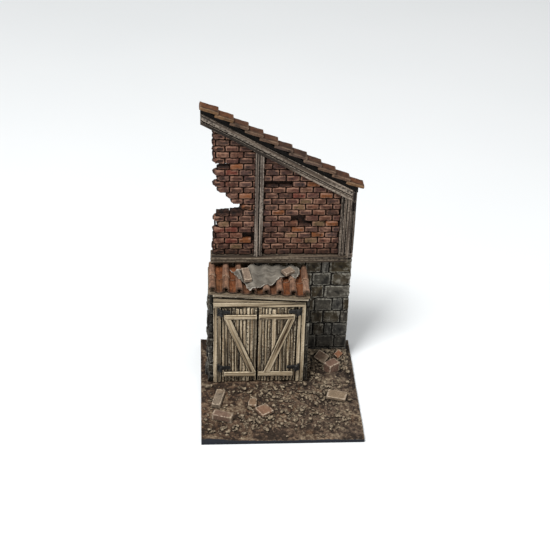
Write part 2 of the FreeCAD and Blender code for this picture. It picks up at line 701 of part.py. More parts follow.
leaf("left", LEFT_LEAF, "left_leaf_width", LEFT_PLANKS, -1, "0")
leaf("right", RIGHT_LEAF, RIGHT_LEAF_WIDTH, RIGHT_PLANKS, 1, "brace_foot_inset")

# --- bricks and stones that lie about -------------------------------------------------------------
ground_seat = f"({GROUND} + laid_gap)"
# Name, share of the base's width, share of the yard's depth in front of the shed, lengths along X and Y,
# height and turn.
YARD_BRICKS = [
    ("ByPost", 0.065, 0.560, "brick_width * 0.98", "brick_length * 1.3", "brick_height * 0.85", -14),
    ("ByCorner", 0.067, 0.354, "brick_length * 1.06", "brick_width * 0.93", "brick_height * 1.2", -19),
    ("Half", 0.295, 0.552, "brick_width * 0.93", "brick_length * 0.625", "brick_height * 0.55", -6),
    ("Square", 0.383, 0.368, "yard_brick_side * 1.07", "yard_brick_side * 1.1", "brick_height * 0.55", 33),
    ("Right", 0.795, 0.679, "brick_length * 1.045", "brick_width * 1.39", "brick_height * 0.6", -17),
    ("Standing", 0.839, 1.096, "yard_brick_side * 1.07", "yard_brick_side * 0.77",
     "standing_brick_height", 37),
]
loose_bricks = []
for name, across, inward, length, depth, height, turn in YARD_BRICKS:
    loose_bricks.append(
        box(f"YardBrick{name}", f"base_width * {across}", f"shed_front * {inward}", ground_seat, length,
            depth, height, f"rotationz({turn})")
    )
bank_tilt = "atan(bank_height / (bank_depth - bank_ridge)) / 1deg"
bank_frame = f"placement({point('bank_left', 'wall_front - bank_depth', GROUND)}; rotationx({bank_tilt}))"
# Place along and up the bank's slope, as shares of its length and depth, then sizes and turn.
BANK_BRICKS = [
    ("Slab", 0.163, 0.554, "yard_brick_side", "yard_brick_side * 0.83", "brick_height * 0.8", -37),
    ("Chip", 0.76, 0.46, "yard_brick_side * 0.6", "yard_brick_side * 0.5", "brick_height * 0.7", 45),
]
for name, along, upward, length, depth, height, turn in BANK_BRICKS:
    brick = doc.addObject("Part::Box", f"BankBrick{name}")
    bind(brick, "Length", length)
    bind(brick, "Width", depth)
    bind(brick, "Height", height)
    seat = f"vector(bank_length * {along}; bank_depth * {upward}; laid_gap)"
    bind(brick, "Placement", f"{bank_frame} * placement({seat}; rotationz({turn}))")
    loose_bricks.append(brick)
group("loose_bricks", loose_bricks)

# Broken stones, clear of the doors' swing: share across, share inward, radius and height.
FRONT_STONES = [  # shares of the base's width and of the yard's depth in front of the shed
    (0.672, 0.933, 0.9, 0.8), (0.727, 0.586, 1.1, 0.9), (0.633, 0.478, 1.2, 1.0), (0.540, 0.431, 1.0, 0.8),
    (0.680, 0.323, 0.9, 0.8), (0.256, 0.395, 1.0, 0.9), (0.500, 0.251, 0.9, 0.7), (0.224, 0.227, 0.8, 0.7),
    (0.847, 0.371, 1.0, 0.8),
]
SIDE_STONES = [  # shares of the strip right of the shed and of the wall's distance from the front edge
    (0.09, 0.770, 1.3, 1.2), (0.18, 0.713, 1.0, 0.9), (0.27, 0.615, 0.8, 0.9), (0.87, 0.787, 1.1, 1.0),
    (0.82, 0.664, 0.9, 0.8),
]
side_strip = "(base_width - bank_left)"
stone_rows = [(f"base_width * {row[0]}", f"shed_front * {row[1]}", row[2:]) for row in FRONT_STONES]
for row in SIDE_STONES:
    stone_rows.append((f"bank_left + {side_strip} * {row[0]}", f"wall_front * {row[1]}", row[2:]))
stones = []
for index, (across, inward, (radius, height)) in enumerate(stone_rows, start=1):
    stone = doc.addObject("Part::Prism", f"Stone{index}")
    stone.Polygon = 5 + index % 2
    bind(stone, "Circumradius", f"stone_radius * {radius}")
    bind(stone, "Height", f"stone_height_size * {height}")
    bind(stone, "Placement", f"placement({point(across, inward, ground_seat)}; rotationz({37 * index}))")
    stones.append(stone)
group("yard_stones", stones)

# --- checks and export ----------------------------------------------------------------------------
sheet.clear("D1")
doc.recompute()
for obj in doc.Objects:
    if "Invalid" in obj.State or "Error" in obj.State:
        raise RuntimeError(f"{obj.Label} is in state {obj.State}")
for obj in parts:
    if obj.Shape.isNull() or not obj.Shape.isValid():
        raise RuntimeError(f"{obj.Label} has no valid shape")

os.makedirs("parts", exist_ok=True)
for obj in parts:
    obj.Shape.exportStep(os.path.join("parts", obj.Label + ".step"))
print(len(parts), "sub-parts,", sum(len(obj.Shape.Solids) for obj in parts), "solids")
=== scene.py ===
import bmesh
import bpy
import math
import random
from contextlib import contextmanager
import numpy as np
from mathutils import Matrix, Vector, noise


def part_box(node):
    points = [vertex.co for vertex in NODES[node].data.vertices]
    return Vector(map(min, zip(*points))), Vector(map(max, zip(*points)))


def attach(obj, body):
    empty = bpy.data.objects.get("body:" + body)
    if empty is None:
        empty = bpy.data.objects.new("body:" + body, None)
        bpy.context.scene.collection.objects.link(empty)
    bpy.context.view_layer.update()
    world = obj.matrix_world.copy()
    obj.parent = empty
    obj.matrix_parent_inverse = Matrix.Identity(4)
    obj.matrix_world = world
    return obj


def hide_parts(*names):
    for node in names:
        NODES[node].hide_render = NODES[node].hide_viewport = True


# A diorama ruin cast in resin and painted by hand: a half-timbered brick gable on a stone wall, a shed with
# two doors in front of it, and an earth yard. Pieces are modelled in millimetres in the frame of the base,
# and finish_piece() turns each one to metres when it is ready.

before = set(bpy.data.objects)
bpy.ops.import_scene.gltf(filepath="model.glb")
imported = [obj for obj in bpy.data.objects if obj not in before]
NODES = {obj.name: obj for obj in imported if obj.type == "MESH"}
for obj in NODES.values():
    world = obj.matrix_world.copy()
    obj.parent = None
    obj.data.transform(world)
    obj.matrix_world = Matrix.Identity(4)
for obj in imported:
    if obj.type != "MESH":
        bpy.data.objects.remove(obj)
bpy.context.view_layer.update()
MM = 0.001
chance = random.Random(4)


# --- small helpers ----------------------------------------------------------------------------------------
def box_mm(node):
    low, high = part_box(node)
    return low / MM, high / MM


def deselect():
    if bpy.context.object and bpy.context.object.mode != "OBJECT":
        bpy.ops.object.mode_set(mode="OBJECT")
    bpy.ops.object.select_all(action="DESELECT")


def take(piece):
    """Selects one piece and makes it the active one."""
    deselect()
    piece.select_set(True)
    bpy.context.view_layer.objects.active = piece
    return piece


def put_in_scene(made):
    bpy.context.scene.collection.objects.link(made)
    return made


@contextmanager
def editing(piece):
    """Opens a piece in edit mode with all of it selected, and closes it again."""
    take(piece)
    bpy.ops.object.mode_set(mode="EDIT")
    bpy.ops.mesh.select_all(action="SELECT")
    yield
    bpy.ops.object.mode_set(mode="OBJECT")


def apply_all(piece):
    take(piece)
    for modifier in list(piece.modifiers):
        bpy.ops.object.modifier_apply(modifier=modifier.name)
    return piece


def shape_with(piece, kind, **settings):
    modifier = piece.modifiers.new(kind.title(), kind)
    for name, value in settings.items():
        setattr(modifier, name, value)
    return modifier


def ease(share):
    """A share that stays at 0 below it and at 1 above it."""
    return np.clip(share, 0, 1)


def turned(angle, axis):
    return Matrix.Rotation(angle, 4, axis)


def set_at(piece, place, turn=Matrix()):
    """Turns a piece's mesh about the origin and moves it to a place."""
    piece.data.transform(Matrix.Translation(place) @ turn)
    return piece


def numbers_from(rows, word, wide=1, kind=np.float32):
    """One value of every row of a mesh's data, or several side by side, as an array."""
    numbers = np.empty(len(rows) * wide, kind)
    rows.foreach_get(word, numbers)
    return numbers.reshape(-1, wide) if wide > 1 else numbers


# How Blender calls what a point keeps, by how many numbers it is made of.
LAYER_KINDS = {1: ("FLOAT", "value"), 3: ("FLOAT_VECTOR", "vector"), 4: ("FLOAT_COLOR", "color")}


def layer_of(piece, name, wide=1):
    """What the points of a piece keep under a name. It starts as zero."""
    layers = piece.data.attributes
    return layers.get(name) or layers.new(name, LAYER_KINDS[wide][0], "POINT")


def values_of(piece, name, wide=1):
    return numbers_from(layer_of(piece, name, wide).data, LAYER_KINDS[wide][1], wide)


def keep(piece, name, values, wide=1):
    flat = np.asarray(values, np.float32).ravel()
    layer_of(piece, name, wide).data.foreach_set(LAYER_KINDS[wide][1], flat)
    return piece


def points_of(piece):
    return numbers_from(piece.data.vertices, "co", 3)


def normals_of(piece):
    return numbers_from(piece.data.vertex_normals, "vector", 3)


def place_points(piece, points):
    piece.data.vertices.foreach_set("co", np.ascontiguousarray(points, np.float32).ravel())
    piece.data.update()


def cloud(name, size, depth=2):
    texture = bpy.data.textures.new(name, "CLOUDS")
    texture.noise_scale = size
    texture.noise_depth = depth
    return texture


CHIPS = cloud("chips", 0.9, 3)
DENTS = cloud("dents", 3.0, 2)
GRAIN = cloud("grain", 0.95, 2)
SHAKES = cloud("shakes", 2.0, 1)


def roughen(piece, texture, strength, stretch=(1, 1, 1), direction="NORMAL"):
    """Pushes the surface in and out by a texture, drawn out along an axis by stretch. How far each point went
    is kept as its relief: a wash darkens what lies low and a dry brush catches what stands high."""
    before = points_of(piece)
    facing = normals_of(piece)
    ruler = put_in_scene(bpy.data.objects.new("ruler", None))
    ruler.scale = stretch
    ruler.location = [chance.uniform(-500, 500) for axis in range(3)]
    bpy.context.view_layer.update()
    shape_with(
        piece, "DISPLACE", texture=texture, texture_coords="OBJECT", texture_coords_object=ruler,
        strength=strength, mid_level=0.5, direction=direction,
    )
    apply_all(piece)
    bpy.data.objects.remove(ruler)
    moved = ((points_of(piece) - before) * facing).sum(axis=1)
    return keep(piece, "relief", values_of(piece, "relief") + moved)


def plain_shape(add, scale, place=(0, 0, 0), **settings):
    """Adds one of Blender's plain shapes at its size and place, with nothing else selected."""
    deselect()
    add(**settings)
    piece = bpy.context.object
    piece.scale = scale
    piece.location = place
    bpy.ops.object.transform_apply(location=True, rotation=True, scale=True)
    return piece


def blank(size, cuts):
    """A block of stock about the origin, cut into a grid of faces along each of its three sides."""
    piece = plain_shape(bpy.ops.mesh.primitive_cube_add, size, size=1)
    bpy.ops.object.mode_set(mode="EDIT")
    bpy.ops.mesh.select_mode(type="EDGE")
    for axis, count in enumerate(cuts):
        if count == 0:
            continue
        mesh = bmesh.from_edit_mesh(piece.data)
        for edge in mesh.edges:
            run = (edge.verts[1].co - edge.verts[0].co).normalized()
            edge.select_set(abs(run[axis]) > 0.99)
        bmesh.update_edit_mesh(piece.data)
        bpy.ops.mesh.subdivide(number_cuts=count)
    bpy.ops.object.mode_set(mode="OBJECT")
    return piece


def wear_arris(piece, width, segments=2):
    sharpest = math.radians(50)
    shape_with(piece, "BEVEL", width=width, segments=segments, limit_method="ANGLE", angle_limit=sharpest)
    return apply_all(piece)


def mark_edges(piece, reach):
    """Keeps which points of a block about the origin lie on its edges, where paint wears pale."""
    points = np.abs(points_of(piece))
    on_edge = (points > points.max(axis=0) - reach).sum(axis=1) >= 2
    return keep(piece, "edge", on_edge)


def mark_arrises(piece, spread=0.985):
    """Keeps which points of any piece lie where its faces meet at an angle, where paint wears pale."""
    mesh = piece.data
    corners = numbers_from(mesh.loops, "vertex_index", kind=np.int32)
    counts = numbers_from(mesh.polygons, "loop_total", kind=np.int32)
    faces = numbers_from(mesh.polygons, "normal", 3)
    meeting = (np.repeat(faces, counts, axis=0) * normals_of(piece)[corners]).sum(axis=1)
    flattest = np.ones(len(mesh.vertices), np.float32)
    np.minimum.at(flattest, corners, meeting)
    return keep(piece, "edge", flattest < spread)


def saw(piece, point, normal):
    """Cuts off what lies beyond a plane, on the side its normal points to, and closes the cut."""
    with editing(piece):
        bpy.ops.mesh.bisect(plane_co=point, plane_no=normal, use_fill=True, clear_outer=True, threshold=1e-4)
    return piece


def copy_of(piece, place):
    """A copy with its own mesh, moved by a matrix that is applied to the mesh."""
    twin = piece.copy()
    twin.data = piece.data.copy()
    twin.data.transform(place)
    return put_in_scene(twin)


def join(members, name):
    deselect()
    for member in members:
        member.select_set(True)
    bpy.context.view_layer.objects.active = members[0]
    bpy.ops.object.join()
    members[0].name = name
    members[0].data.name = name
    return members[0]


def discard(*pieces):
    for piece in pieces:
        bpy.data.objects.remove(piece)


def set_tint(piece, colour):
    """Gives a whole brick, tile or stone one paint colour."""
    return keep(piece, "tint", np.tile(colour, (len(piece.data.vertices), 1)), 4)


def darken_in_shade(piece, share):
    """Darkens the tint of each point by its share as painted shade, and keeps pale brushing off it."""
    return keep(piece, "tint", values_of(piece, "tint", 4) * np.reshape(share, (-1, 1)), 4)


def sink(piece, hidden):
    """Marks points as low ones, so that the dark wash gathers on them; the same dark also paints shade and
    shadow lines.
    """
    keep(piece, "relief", np.where(hidden, -1.0, values_of(piece, "relief")))
    return keep(piece, "edge", np.where(hidden, 0.0, values_of(piece, "edge")))


def sink_whole(piece):
    return sink(piece, np.ones(len(piece.data.vertices), bool))


def keep_grain(piece):
    """Keeps where each point lies along the stock, so that painted grain follows the timber as it turns."""
    start = [chance.uniform(0, 400) for axis in range(3)]
    return keep(piece, "grain", points_of(piece) + start, 3)


def tint_islands(piece, palette):
    """Gives each separate brick, tile or stone in a mesh its own paint colour."""
    count = len(piece.data.vertices)
    root = list(range(count))

    def find(index):
        while root[index] != index:
            root[index] = root[root[index]]
            index = root[index]
        return index

    for edge in piece.data.edges:
        a, b = find(edge.vertices[0]), find(edge.vertices[1])
        root[max(a, b)] = min(a, b)
    picked = {}
    colours = []
    for index in range(count):
        first = find(index)
        if first not in picked:
            picked[first] = list(chance.choice(palette))
        colours += picked[first]
    return keep(piece, "tint", colours, 4)


def finish_piece(piece, name, material, stands_for=(), smooth=35, body="ruin"):
    """Turns a piece from millimetres to metres, paints it and lets it ride on its body."""
    take(piece)
    bpy.ops.object.transform_apply(location=True, rotation=True, scale=True)
    piece.data.transform(Matrix.Scale(MM, 4))
    piece.name = name
    piece.data.name = name
    piece.data.materials.clear()
    piece.data.materials.append(material)
    bpy.ops.object.shade_smooth_by_angle(angle=math.radians(smooth))
    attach(piece, body)
    if stands_for:
        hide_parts(*stands_for)
    return piece


def dress(node, cuts, arris):
    """A copy of a node's plain blocks, in millimetres, with its faces divided and its edges worn."""
    piece = NODES[node].copy()
    piece.data = NODES[node].data.copy()
    piece.parent = None
    for key in list(piece.keys()):
        del piece[key]
    put_in_scene(piece)
    piece.data.transform(Matrix.Scale(1 / MM, 4))
    take(piece)
    bpy.ops.mesh.customdata_custom_splitnormals_clear()
    with editing(piece):
        bpy.ops.mesh.remove_doubles(threshold=0.002)
        bpy.ops.mesh.dissolve_limited(angle_limit=math.radians(1))
        bpy.ops.mesh.select_all(action="SELECT")
        bpy.ops.mesh.subdivide(number_cuts=cuts)
    return mark_arrises(wear_arris(piece, arris))


# --- paint ------------------------------------------------------------------------------------------------
def paint(colour):
    """An sRGB hex colour as linear red, green, blue and alpha. Anything else is linear already."""
    if not isinstance(colour, str):
        return colour
    channels = [int(colour[start : start + 2], 16) / 255 for start in (1, 3, 5)]
    linear = [c / 12.92 if c <= 0.04045 else ((c + 0.055) / 1.055) ** 2.4 for c in channels]
    return (*linear, 1.0)


def paints(text):
    return [paint(colour) for colour in text.split()]


WHITE = (1.0, 1.0, 1.0, 1.0)
# How high the grit in the paint stands, in metres, and how far noise is drawn out along the grain.
GRIT_HEIGHT = 0.0002
GRAIN_SQUEEZE = 0.03


def add_node(material, kind, inputs=None, **settings):
    """Adds one shader node with its settings. An input given a socket is linked to it, and one given a hex
    colour gets it as linear values."""
    tree = material.node_tree
    made = tree.nodes.new(kind)
    for name, value in settings.items():
        setattr(made, name, value)
    for socket, value in (inputs or {}).items():
        if isinstance(value, bpy.types.NodeSocket):
            tree.links.new(value, made.inputs[socket])
        else:
            made.inputs[socket].default_value = paint(value)
    return made


def ramp(material, factor, *stops):
    """Colours by how large a value is. Each stop is a value and its colour."""
    made = add_node(material, "ShaderNodeValToRGB", {"Fac": factor})
    elements = made.color_ramp.elements
    elements[0].position, elements[0].color = stops[0][0], paint(stops[0][1])
    elements[1].position, elements[1].color = stops[-1][0], paint(stops[-1][1])
    for position, colour in stops[1:-1]:
        elements.new(position).color = paint(colour)
    return made.outputs["Color"]


def fade(material, value, start, end, top=1.0):
    """Grows from 0 where a value is at start to top where it is at end."""
    return add_node(
        material, "ShaderNodeMapRange",
        {"Value": value, "From Min": start, "From Max": end, "To Min": 0.0, "To Max": top},
    ).outputs["Result"]


def combine(material, operation, value, *others):
    """Joins values by one sum, pair by pair from the first on."""
    for other in others:
        joined = add_node(material, "ShaderNodeMath", {0: value, 1: other}, operation=operation)
        value = joined.outputs["Value"]
    return value


def mix(material, factor, first, second, blend="MIX"):
    inputs = {0: factor, 6: first, 7: second}
    return add_node(material, "ShaderNodeMix", inputs, data_type="RGBA", blend_type=blend).outputs[2]


def new_material(name):
    material = bpy.data.materials.new(name)
    material.use_nodes = True
    material.node_tree.nodes.clear()
    return material


def object_place(material):
    return add_node(material, "ShaderNodeTexCoord").outputs["Object"]


def kept(material, name, output="Fac"):
    return add_node(material, "ShaderNodeAttribute", attribute_name=name).outputs[output]


def noise_at(material, place, scale, detail, roughness=0.5):
    inputs = {"Vector": place, "Scale": scale, "Detail": detail, "Roughness": roughness}
    return add_node(material, "ShaderNodeTexNoise", inputs).outputs["Fac"]


def speckle(material, place, size_mm, detail=3.0, roughness=0.6):
    """Noise whose blotches are about that many millimetres across, on coordinates in metres."""
    return noise_at(material, place, 1 / (size_mm * MM), detail, roughness)


def mottle(material, place, size_mm, *stops):
    return ramp(material, speckle(material, place, size_mm), *stops)


def squeezed(material, place, scale):
    return add_node(material, "ShaderNodeMapping", {"Vector": place, "Scale": scale}).outputs["Vector"]


def finish_material(material, surface):
    add_node(material, "ShaderNodeOutputMaterial", {"Surface": surface.outputs["BSDF"]})
    return material


# How dark the wash and the painted shade of ambient occlusion make a colour.
WASH_AND_SHADE_DEPTH = 0.92


def painted(material, colour, place, wash_and_shade, brush, reach, share, relief=0.12, top=0.0, grit_mm=0.35, bump=0.25,
            roughness=0.86, stroke_mm=1.1):
    """Model paint over a base colour: a dark wash that has run into what lies low, painted shade from ambient
    occlusion in recesses within reach, and pale dry brushing on edges, on what stands out of the surface and,
    by the share called top, on what faces up."""
    # Ambient occlusion paints shade into recesses and between parts, mixed with the wash.
    shadow = add_node(material, "ShaderNodeAmbientOcclusion", {"Distance": reach * MM}, samples=6)
    recess = shadow.outputs["AO"]
    height = kept(material, "relief")
    low = fade(material, height, 0.0, -relief, 0.8)
    wash_and_shade_share = combine(material, "MAXIMUM", fade(material, recess, 0.82, 0.34), low)
    washed_and_shaded = mix(material, combine(material, "MULTIPLY", wash_and_shade_share, WASH_AND_SHADE_DEPTH), colour, wash_and_shade)
    edges = fade(material, kept(material, "edge"), 0.45, 0.9)
    corner = fade(material, add_node(material, "ShaderNodeNewGeometry").outputs["Pointiness"], 0.53, 0.62)
    high = fade(material, height, relief * 0.3, relief * 1.3, 0.75)
    raised = combine(material, "MAXIMUM", edges, corner, high)
    if top:
        facing = add_node(material, "ShaderNodeTexCoord").outputs["Normal"]
        upward = add_node(material, "ShaderNodeSeparateXYZ", {0: facing}).outputs["Z"]
        raised = combine(material, "MAXIMUM", raised, fade(material, upward, 0.72, 0.98, top))
    patch = fade(material, speckle(material, place, stroke_mm), 0.38, 0.60, share)
    dry = fade(material, recess, 0.45, 0.75)
    brushed = mix(material, combine(material, "MULTIPLY", raised, patch, dry), washed_and_shaded, brush)
    grit = {"Height": speckle(material, place, grit_mm, 4.0), "Strength": bump, "Distance": GRIT_HEIGHT}
    uneven = add_node(material, "ShaderNodeBump", grit).outputs["Normal"]
    look = {"Base Color": brushed, "Roughness": roughness, "Specular IOR Level": 0.25, "Normal": uneven}
    return finish_material(material, add_node(material, "ShaderNodeBsdfPrincipled", look))


def tinted_paint(name, blotch_mm, dark, light, wash_and_shade, brush, reach, share, glaze=0.35, streaks=0.0, **finish):
    """Paint for bricks, tiles and stones: each has its own tint under thin darker and lighter glazes."""
    material = new_material(name)
    place = object_place(material)
    broad = mottle(material, place, blotch_mm, (0.38, dark), (0.66, light))
    uneven = mix(material, glaze, kept(material, "tint", "Color"), broad)
    fine = mottle(material, place, blotch_mm * 0.3, (0.34, (0.5, 0.5, 0.5, 1)), (0.62, WHITE))
    colour = mix(material, 0.8, uneven, fine, "MULTIPLY")
    if streaks:
        drawn = squeezed(material, place, (1.0, GRAIN_SQUEEZE * 4, 1.0))
        run = mottle(material, drawn, 0.9, (0.36, (0.45, 0.4, 0.38, 1)), (0.6, (1.2, 1.15, 1.1, 1)))
        colour = mix(material, streaks, colour, run, "MULTIPLY")
    brushed = combine(material, "MULTIPLY", kept(material, "tint", "Alpha"), share)
    return painted(material, colour, place, wash_and_shade, brush, reach, brushed, **finish)


def timber_paint(name, dark, middle, light, wash_and_shade, brush, share=0.9, along=None, fibre_mm=1.05, reach=0.8,
                 detail=3.0, spread=0.14, weather=0.7):
    """Paint for weathered timber: pale ridges and dark grooves along the grain, about a millimetre apart."""
    material = new_material(name)
    place = object_place(material)
    if along is None:
        # The grain is kept in millimetres and runs along X.
        lying, unit, along = kept(material, "grain", "Vector"), 1.0, "X"
    else:
        lying, unit = place, 1 / MM
    stretch = tuple(unit * (GRAIN_SQUEEZE if axis == along else 1.0) for axis in "XYZ")
    drawn = squeezed(material, lying, stretch)
    fibre = noise_at(material, drawn, 1 / fibre_mm, detail, 0.65)
    tones = (0.5 - spread, dark), (0.47, middle), (0.53, middle), (0.5 + spread, light)
    colour = ramp(material, fibre, *tones)
    shade = ramp(material, noise_at(material, drawn, 0.4, 1.0), (0.32, (0.6, 0.56, 0.52, 1)), (0.6, WHITE))
    colour = mix(material, weather, colour, shade, "MULTIPLY")
    # Mud that has splashed up the foot of the doors.
    flecks = fade(material, speckle(material, place, 1.4), 0.3, 0.5)
    splashed = combine(material, "MULTIPLY", kept(material, "mud"), flecks)
    colour = mix(material, splashed, colour, "#4a3826")
    return painted(material, colour, place, wash_and_shade, brush, reach, share, grit_mm=0.25, bump=0.15)


# Masonry: red-brown bricks with dusty edges, paler ones in the yard, and cold stones among dark, earthy ones.
brick_paint = tinted_paint(
    "painted_resin_brick", 2.2, "#2b1b16", "#64402f", "#090504", "#8a6856", reach=0.85, share=0.85,
    stroke_mm=3.5)
fallen_brick_paint = tinted_paint(
    "painted_resin_loose_brick", 2.2, "#5f4f40", "#857461", "#1d140e", "#ab9b88", reach=0.8, share=1.0,
    bump=0.2)
stone_paint = tinted_paint(
    "painted_resin_stone", 3.0, "#1c1812", "#4d4840", "#040302", "#827e74", reach=1.3, share=0.95, relief=0.2)
pebble_paint = tinted_paint(
    "painted_resin_pebble", 1.2, "#33281f", "#63543f", "#0c0806", "#a3937c", reach=0.9, share=0.8, top=0.35)

# Tiles: faded clay that rain has streaked down the slope, and darker ridge tiles that are hardly brushed.
tile_paint = tinted_paint(
    "painted_resin_roof_tile", 2.6, "#4a3021", "#86634b", "#0d0806", "#b59a82", reach=0.9, share=0.75,
    streaks=0.8)
ridge_tile_paint = tinted_paint(
    "painted_resin_ridge_tile", 2.6, "#3e2a1c", "#75573f", "#0d0806", "#86705b", reach=0.9, share=0.4,
    glaze=0.2, stroke_mm=2.5)

# Timber of the gable: grey-brown oak, split and weathered, darkest in its shakes.
old_timber_paint = timber_paint(
    "painted_resin_old_timber", "#1c1410", "#564b43", "#85786c", "#080504", "#a3978a")
rafter_paint = timber_paint(
    "painted_resin_rafter", "#18110d", "#50453b", "#84776a", "#080504", "#a09486", fibre_mm=1.7, reach=1.0,
    detail=2.0, spread=0.12)
corner_paint = timber_paint(
    "painted_resin_corner_post", "#16100c", "#4b4037", "#7a6d60", "#080504", "#988b7d")
sill_paint = timber_paint(
    "painted_resin_sill", "#19120c", "#453a2f", "#665a4c", "#080504", "#877a69", share=0.7)

# Timber of the shed: bleached, tan doors and frame, and an eave board painted palest, as painted light
# against the shade under the tiles.
plank_paint = timber_paint(
    "painted_resin_door_planks", "#1b110a", "#7d6a51", "#c2b094", "#080402", "#d0c1a6", reach=1.3,
    fibre_mm=1.2, detail=2.0, spread=0.11)
door_timber_paint = timber_paint(
    "painted_resin_door_timber", "#3a2b1b", "#97866c", "#bcac92", "#0e0804", "#cfc0a6", weather=0.5,
    spread=0.12)
lintel_paint = timber_paint(
    "painted_resin_lintel", "#4f3f2d", "#9a8a71", "#b3a38a", "#0e0804", "#bfb097", share=0.6, weather=0.3,
    spread=0.12)
eave_paint = timber_paint(
    "painted_resin_eave_board", "#6a5a47", "#b8a991", "#dccdb5", "#1c130c", "#e6dac4", weather=0.3, reach=0.3)

# Timber inside the shed and under the tiles is nearly black in its own shade. Only the roof boards are paler,
# because their front edge shows under the tiles.
roof_board_paint = timber_paint(
    "painted_resin_roof_boards", "#31271d", "#5d5040", "#7a6c59", "#140d08", "#7d6f5c", share=0.7, along="X")
inner_paints = {
    axis: timber_paint(
        f"painted_resin_inner_timber_{axis}", "#1c1510", "#3a3027", "#544839", "#0a0705", "#62564a",
        along=axis)
    for axis in "XY"
}
shadowed_paint = timber_paint(
    "painted_resin_shadowed_boards", "#050403", "#0d0a08", "#18130f", "#030202", "#2a231c", share=0.2)


def earth_paint():
    """Textured earth paste under matte paint: brown, mottled, with tan grains under a millimetre wide."""
    material = new_material("painted_earth_paste")
    place = object_place(material)
    colour = mottle(material, place, 9.0, (0.36, "#3d2e22"), (0.64, "#5a483a"))
    rusty = fade(material, speckle(material, place, 6.0), 0.55, 0.75, 0.4)
    grains = fade(material, speckle(material, place, 0.9, 3.0, 0.8), 0.54, 0.64, 0.8)
    dark = fade(material, speckle(material, place, 1.2, 3.0, 0.8), 0.47, 0.36, 0.9)
    for patches, tone in ((rusty, "#6a4526"), (grains, "#7c6852"), (dark, "#21170f")):
        colour = mix(material, patches, colour, tone)
    colour = mix(material, 1.0, colour, kept(material, "tint", "Color"), "MULTIPLY")
    return painted(
        material, colour, place, "#0e0906", "#9a8971",
        reach=1.0, share=0.8, relief=0.2, grit_mm=0.3, bump=0.6)


def tarp_paint():
    """Waxed canvas as a painter shows it: grey, stained in blotches, with pale torn hems and folds."""
    material = new_material("painted_canvas_tarpaulin")
    place = object_place(material)
    broad = mottle(material, place, 5.0, (0.38, "#5d5850"), (0.62, "#7b756b"))
    stain = mottle(material, place, 1.6, (0.3, (0.7, 0.67, 0.64, 1)), (0.55, WHITE))
    colour = mix(material, 0.8, broad, stain, "MULTIPLY")
    colour = mix(material, 1.0, colour, kept(material, "tint", "Color"), "MULTIPLY")
    return painted(
        material, colour, place, "#15120f", "#b9b2a6",
        reach=1.3, share=1.0, relief=0.3, grit_mm=0.3, bump=0.15)


def iron_paint():
    """Black gunmetal paint over cast ironwork, brushed with grey where hands would polish it."""
    material = new_material("painted_black_iron")
    place = object_place(material)
    colour = mottle(material, place, 0.8, (0.35, "#121110"), (0.7, "#232221"))
    return painted(
        material, colour, place, "#040404", "#4b4a48",
        reach=0.5, share=0.6, relief=0.1, grit_mm=0.25, bump=0.3, roughness=0.6)


def plinth_paint():
    """Satin black enamel on the rim of the base, with a little dust, all tinted blue as a painted reflection
    of blue surroundings.
    """
    material = new_material("satin_black_enamel")
    place = object_place(material)
    colour = mottle(material, place, 3.0, (0.4, "#050912"), (0.75, "#0b111e"))
    return painted(
        material, colour, place, "#030406", "#182030",
        reach=0.4, share=0.5, relief=0.2, grit_mm=0.5, bump=0.1, roughness=0.5)


earth_finish = earth_paint()
tarp_finish = tarp_paint()
iron_finish = iron_paint()
plinth_finish = plinth_paint()

BRICK_TINTS = paints(
    "#54382c #5a3b2c #4b3129 #603e2f #443029 #503a34 #654231 #57352a #4e3b36 #5f4435 #57342b #4a2f2a")
BRICK_ORANGE = paint("#875029")
BRICK_TAN = paint("#705a3e")
BRICK_RED = paint("#6e3427")
STONE_TINTS = paints("#473c29 #464541 #423720 #4c4941 #443a29 #504430 #534e45")
VERGE_TINTS = paints("#4a2b1a #5a3319 #3f261a #523420")
COVER_TINTS = paints("#957662 #a18673 #8d6d58 #9e7c67")
PAN_TINTS = paints("#794626 #8e4e20 #66412a #704829 #834a25")
PEBBLE_TINTS = paints("#43362b #54473a #6f604f #352b23 #4d4033 #86775f #46392d #5f5142 #3c3028")

# --- camera, floor and light ------------------------------------------------------------------------------
base_low = box_mm("base_plate")[0]
AIM = base_low + Vector((34.15, 40.0, 66.4))
CAMERA_DISTANCE = 555.7
CAMERA_PITCH = math.radians(34.25)
CAMERA_YAW = math.radians(4.08)
CAMERA_ROLL = math.radians(1.80)
FOCAL_LENGTH = 79.93

camera_data = bpy.data.cameras.new("studio_camera")
camera_data.lens = FOCAL_LENGTH
camera_data.sensor_width = 36
camera_data.clip_start = 0.01
camera_data.clip_end = 20
camera = put_in_scene(bpy.data.objects.new("studio_camera", camera_data))
level_turn = turned(-CAMERA_YAW, "Z") @ turned(math.pi / 2 - CAMERA_PITCH, "X")
turn = level_turn @ turned(CAMERA_ROLL, "Z")
sight = level_turn @ Vector((0, 0, -1))
camera.matrix_world = Matrix.Translation((AIM - sight * CAMERA_DISTANCE) * MM) @ turn
bpy.context.scene.camera = camera

floor = plain_shape(bpy.ops.mesh.primitive_plane_add, (1, 1, 1), size=6)
floor.name = "studio_floor"
floor_paper = new_material("pale_paper")
paper_colour = mottle(floor_paper, object_place(floor_paper), 400.0, (0.3, "#e6e9ea"), (0.7, "#eceeef"))
paper = add_node(floor_paper, "ShaderNodeBsdfPrincipled", {"Base Color": paper_colour, "Roughness": 0.9})
floor.data.materials.append(finish_material(floor_paper, paper))

world = bpy.data.worlds.new("studio")
bpy.context.scene.world = world
world.use_nodes = True
backdrop = world.node_tree.nodes["Background"].inputs
backdrop["Color"].default_value = WHITE
backdrop["Strength"].default_value = 0.5


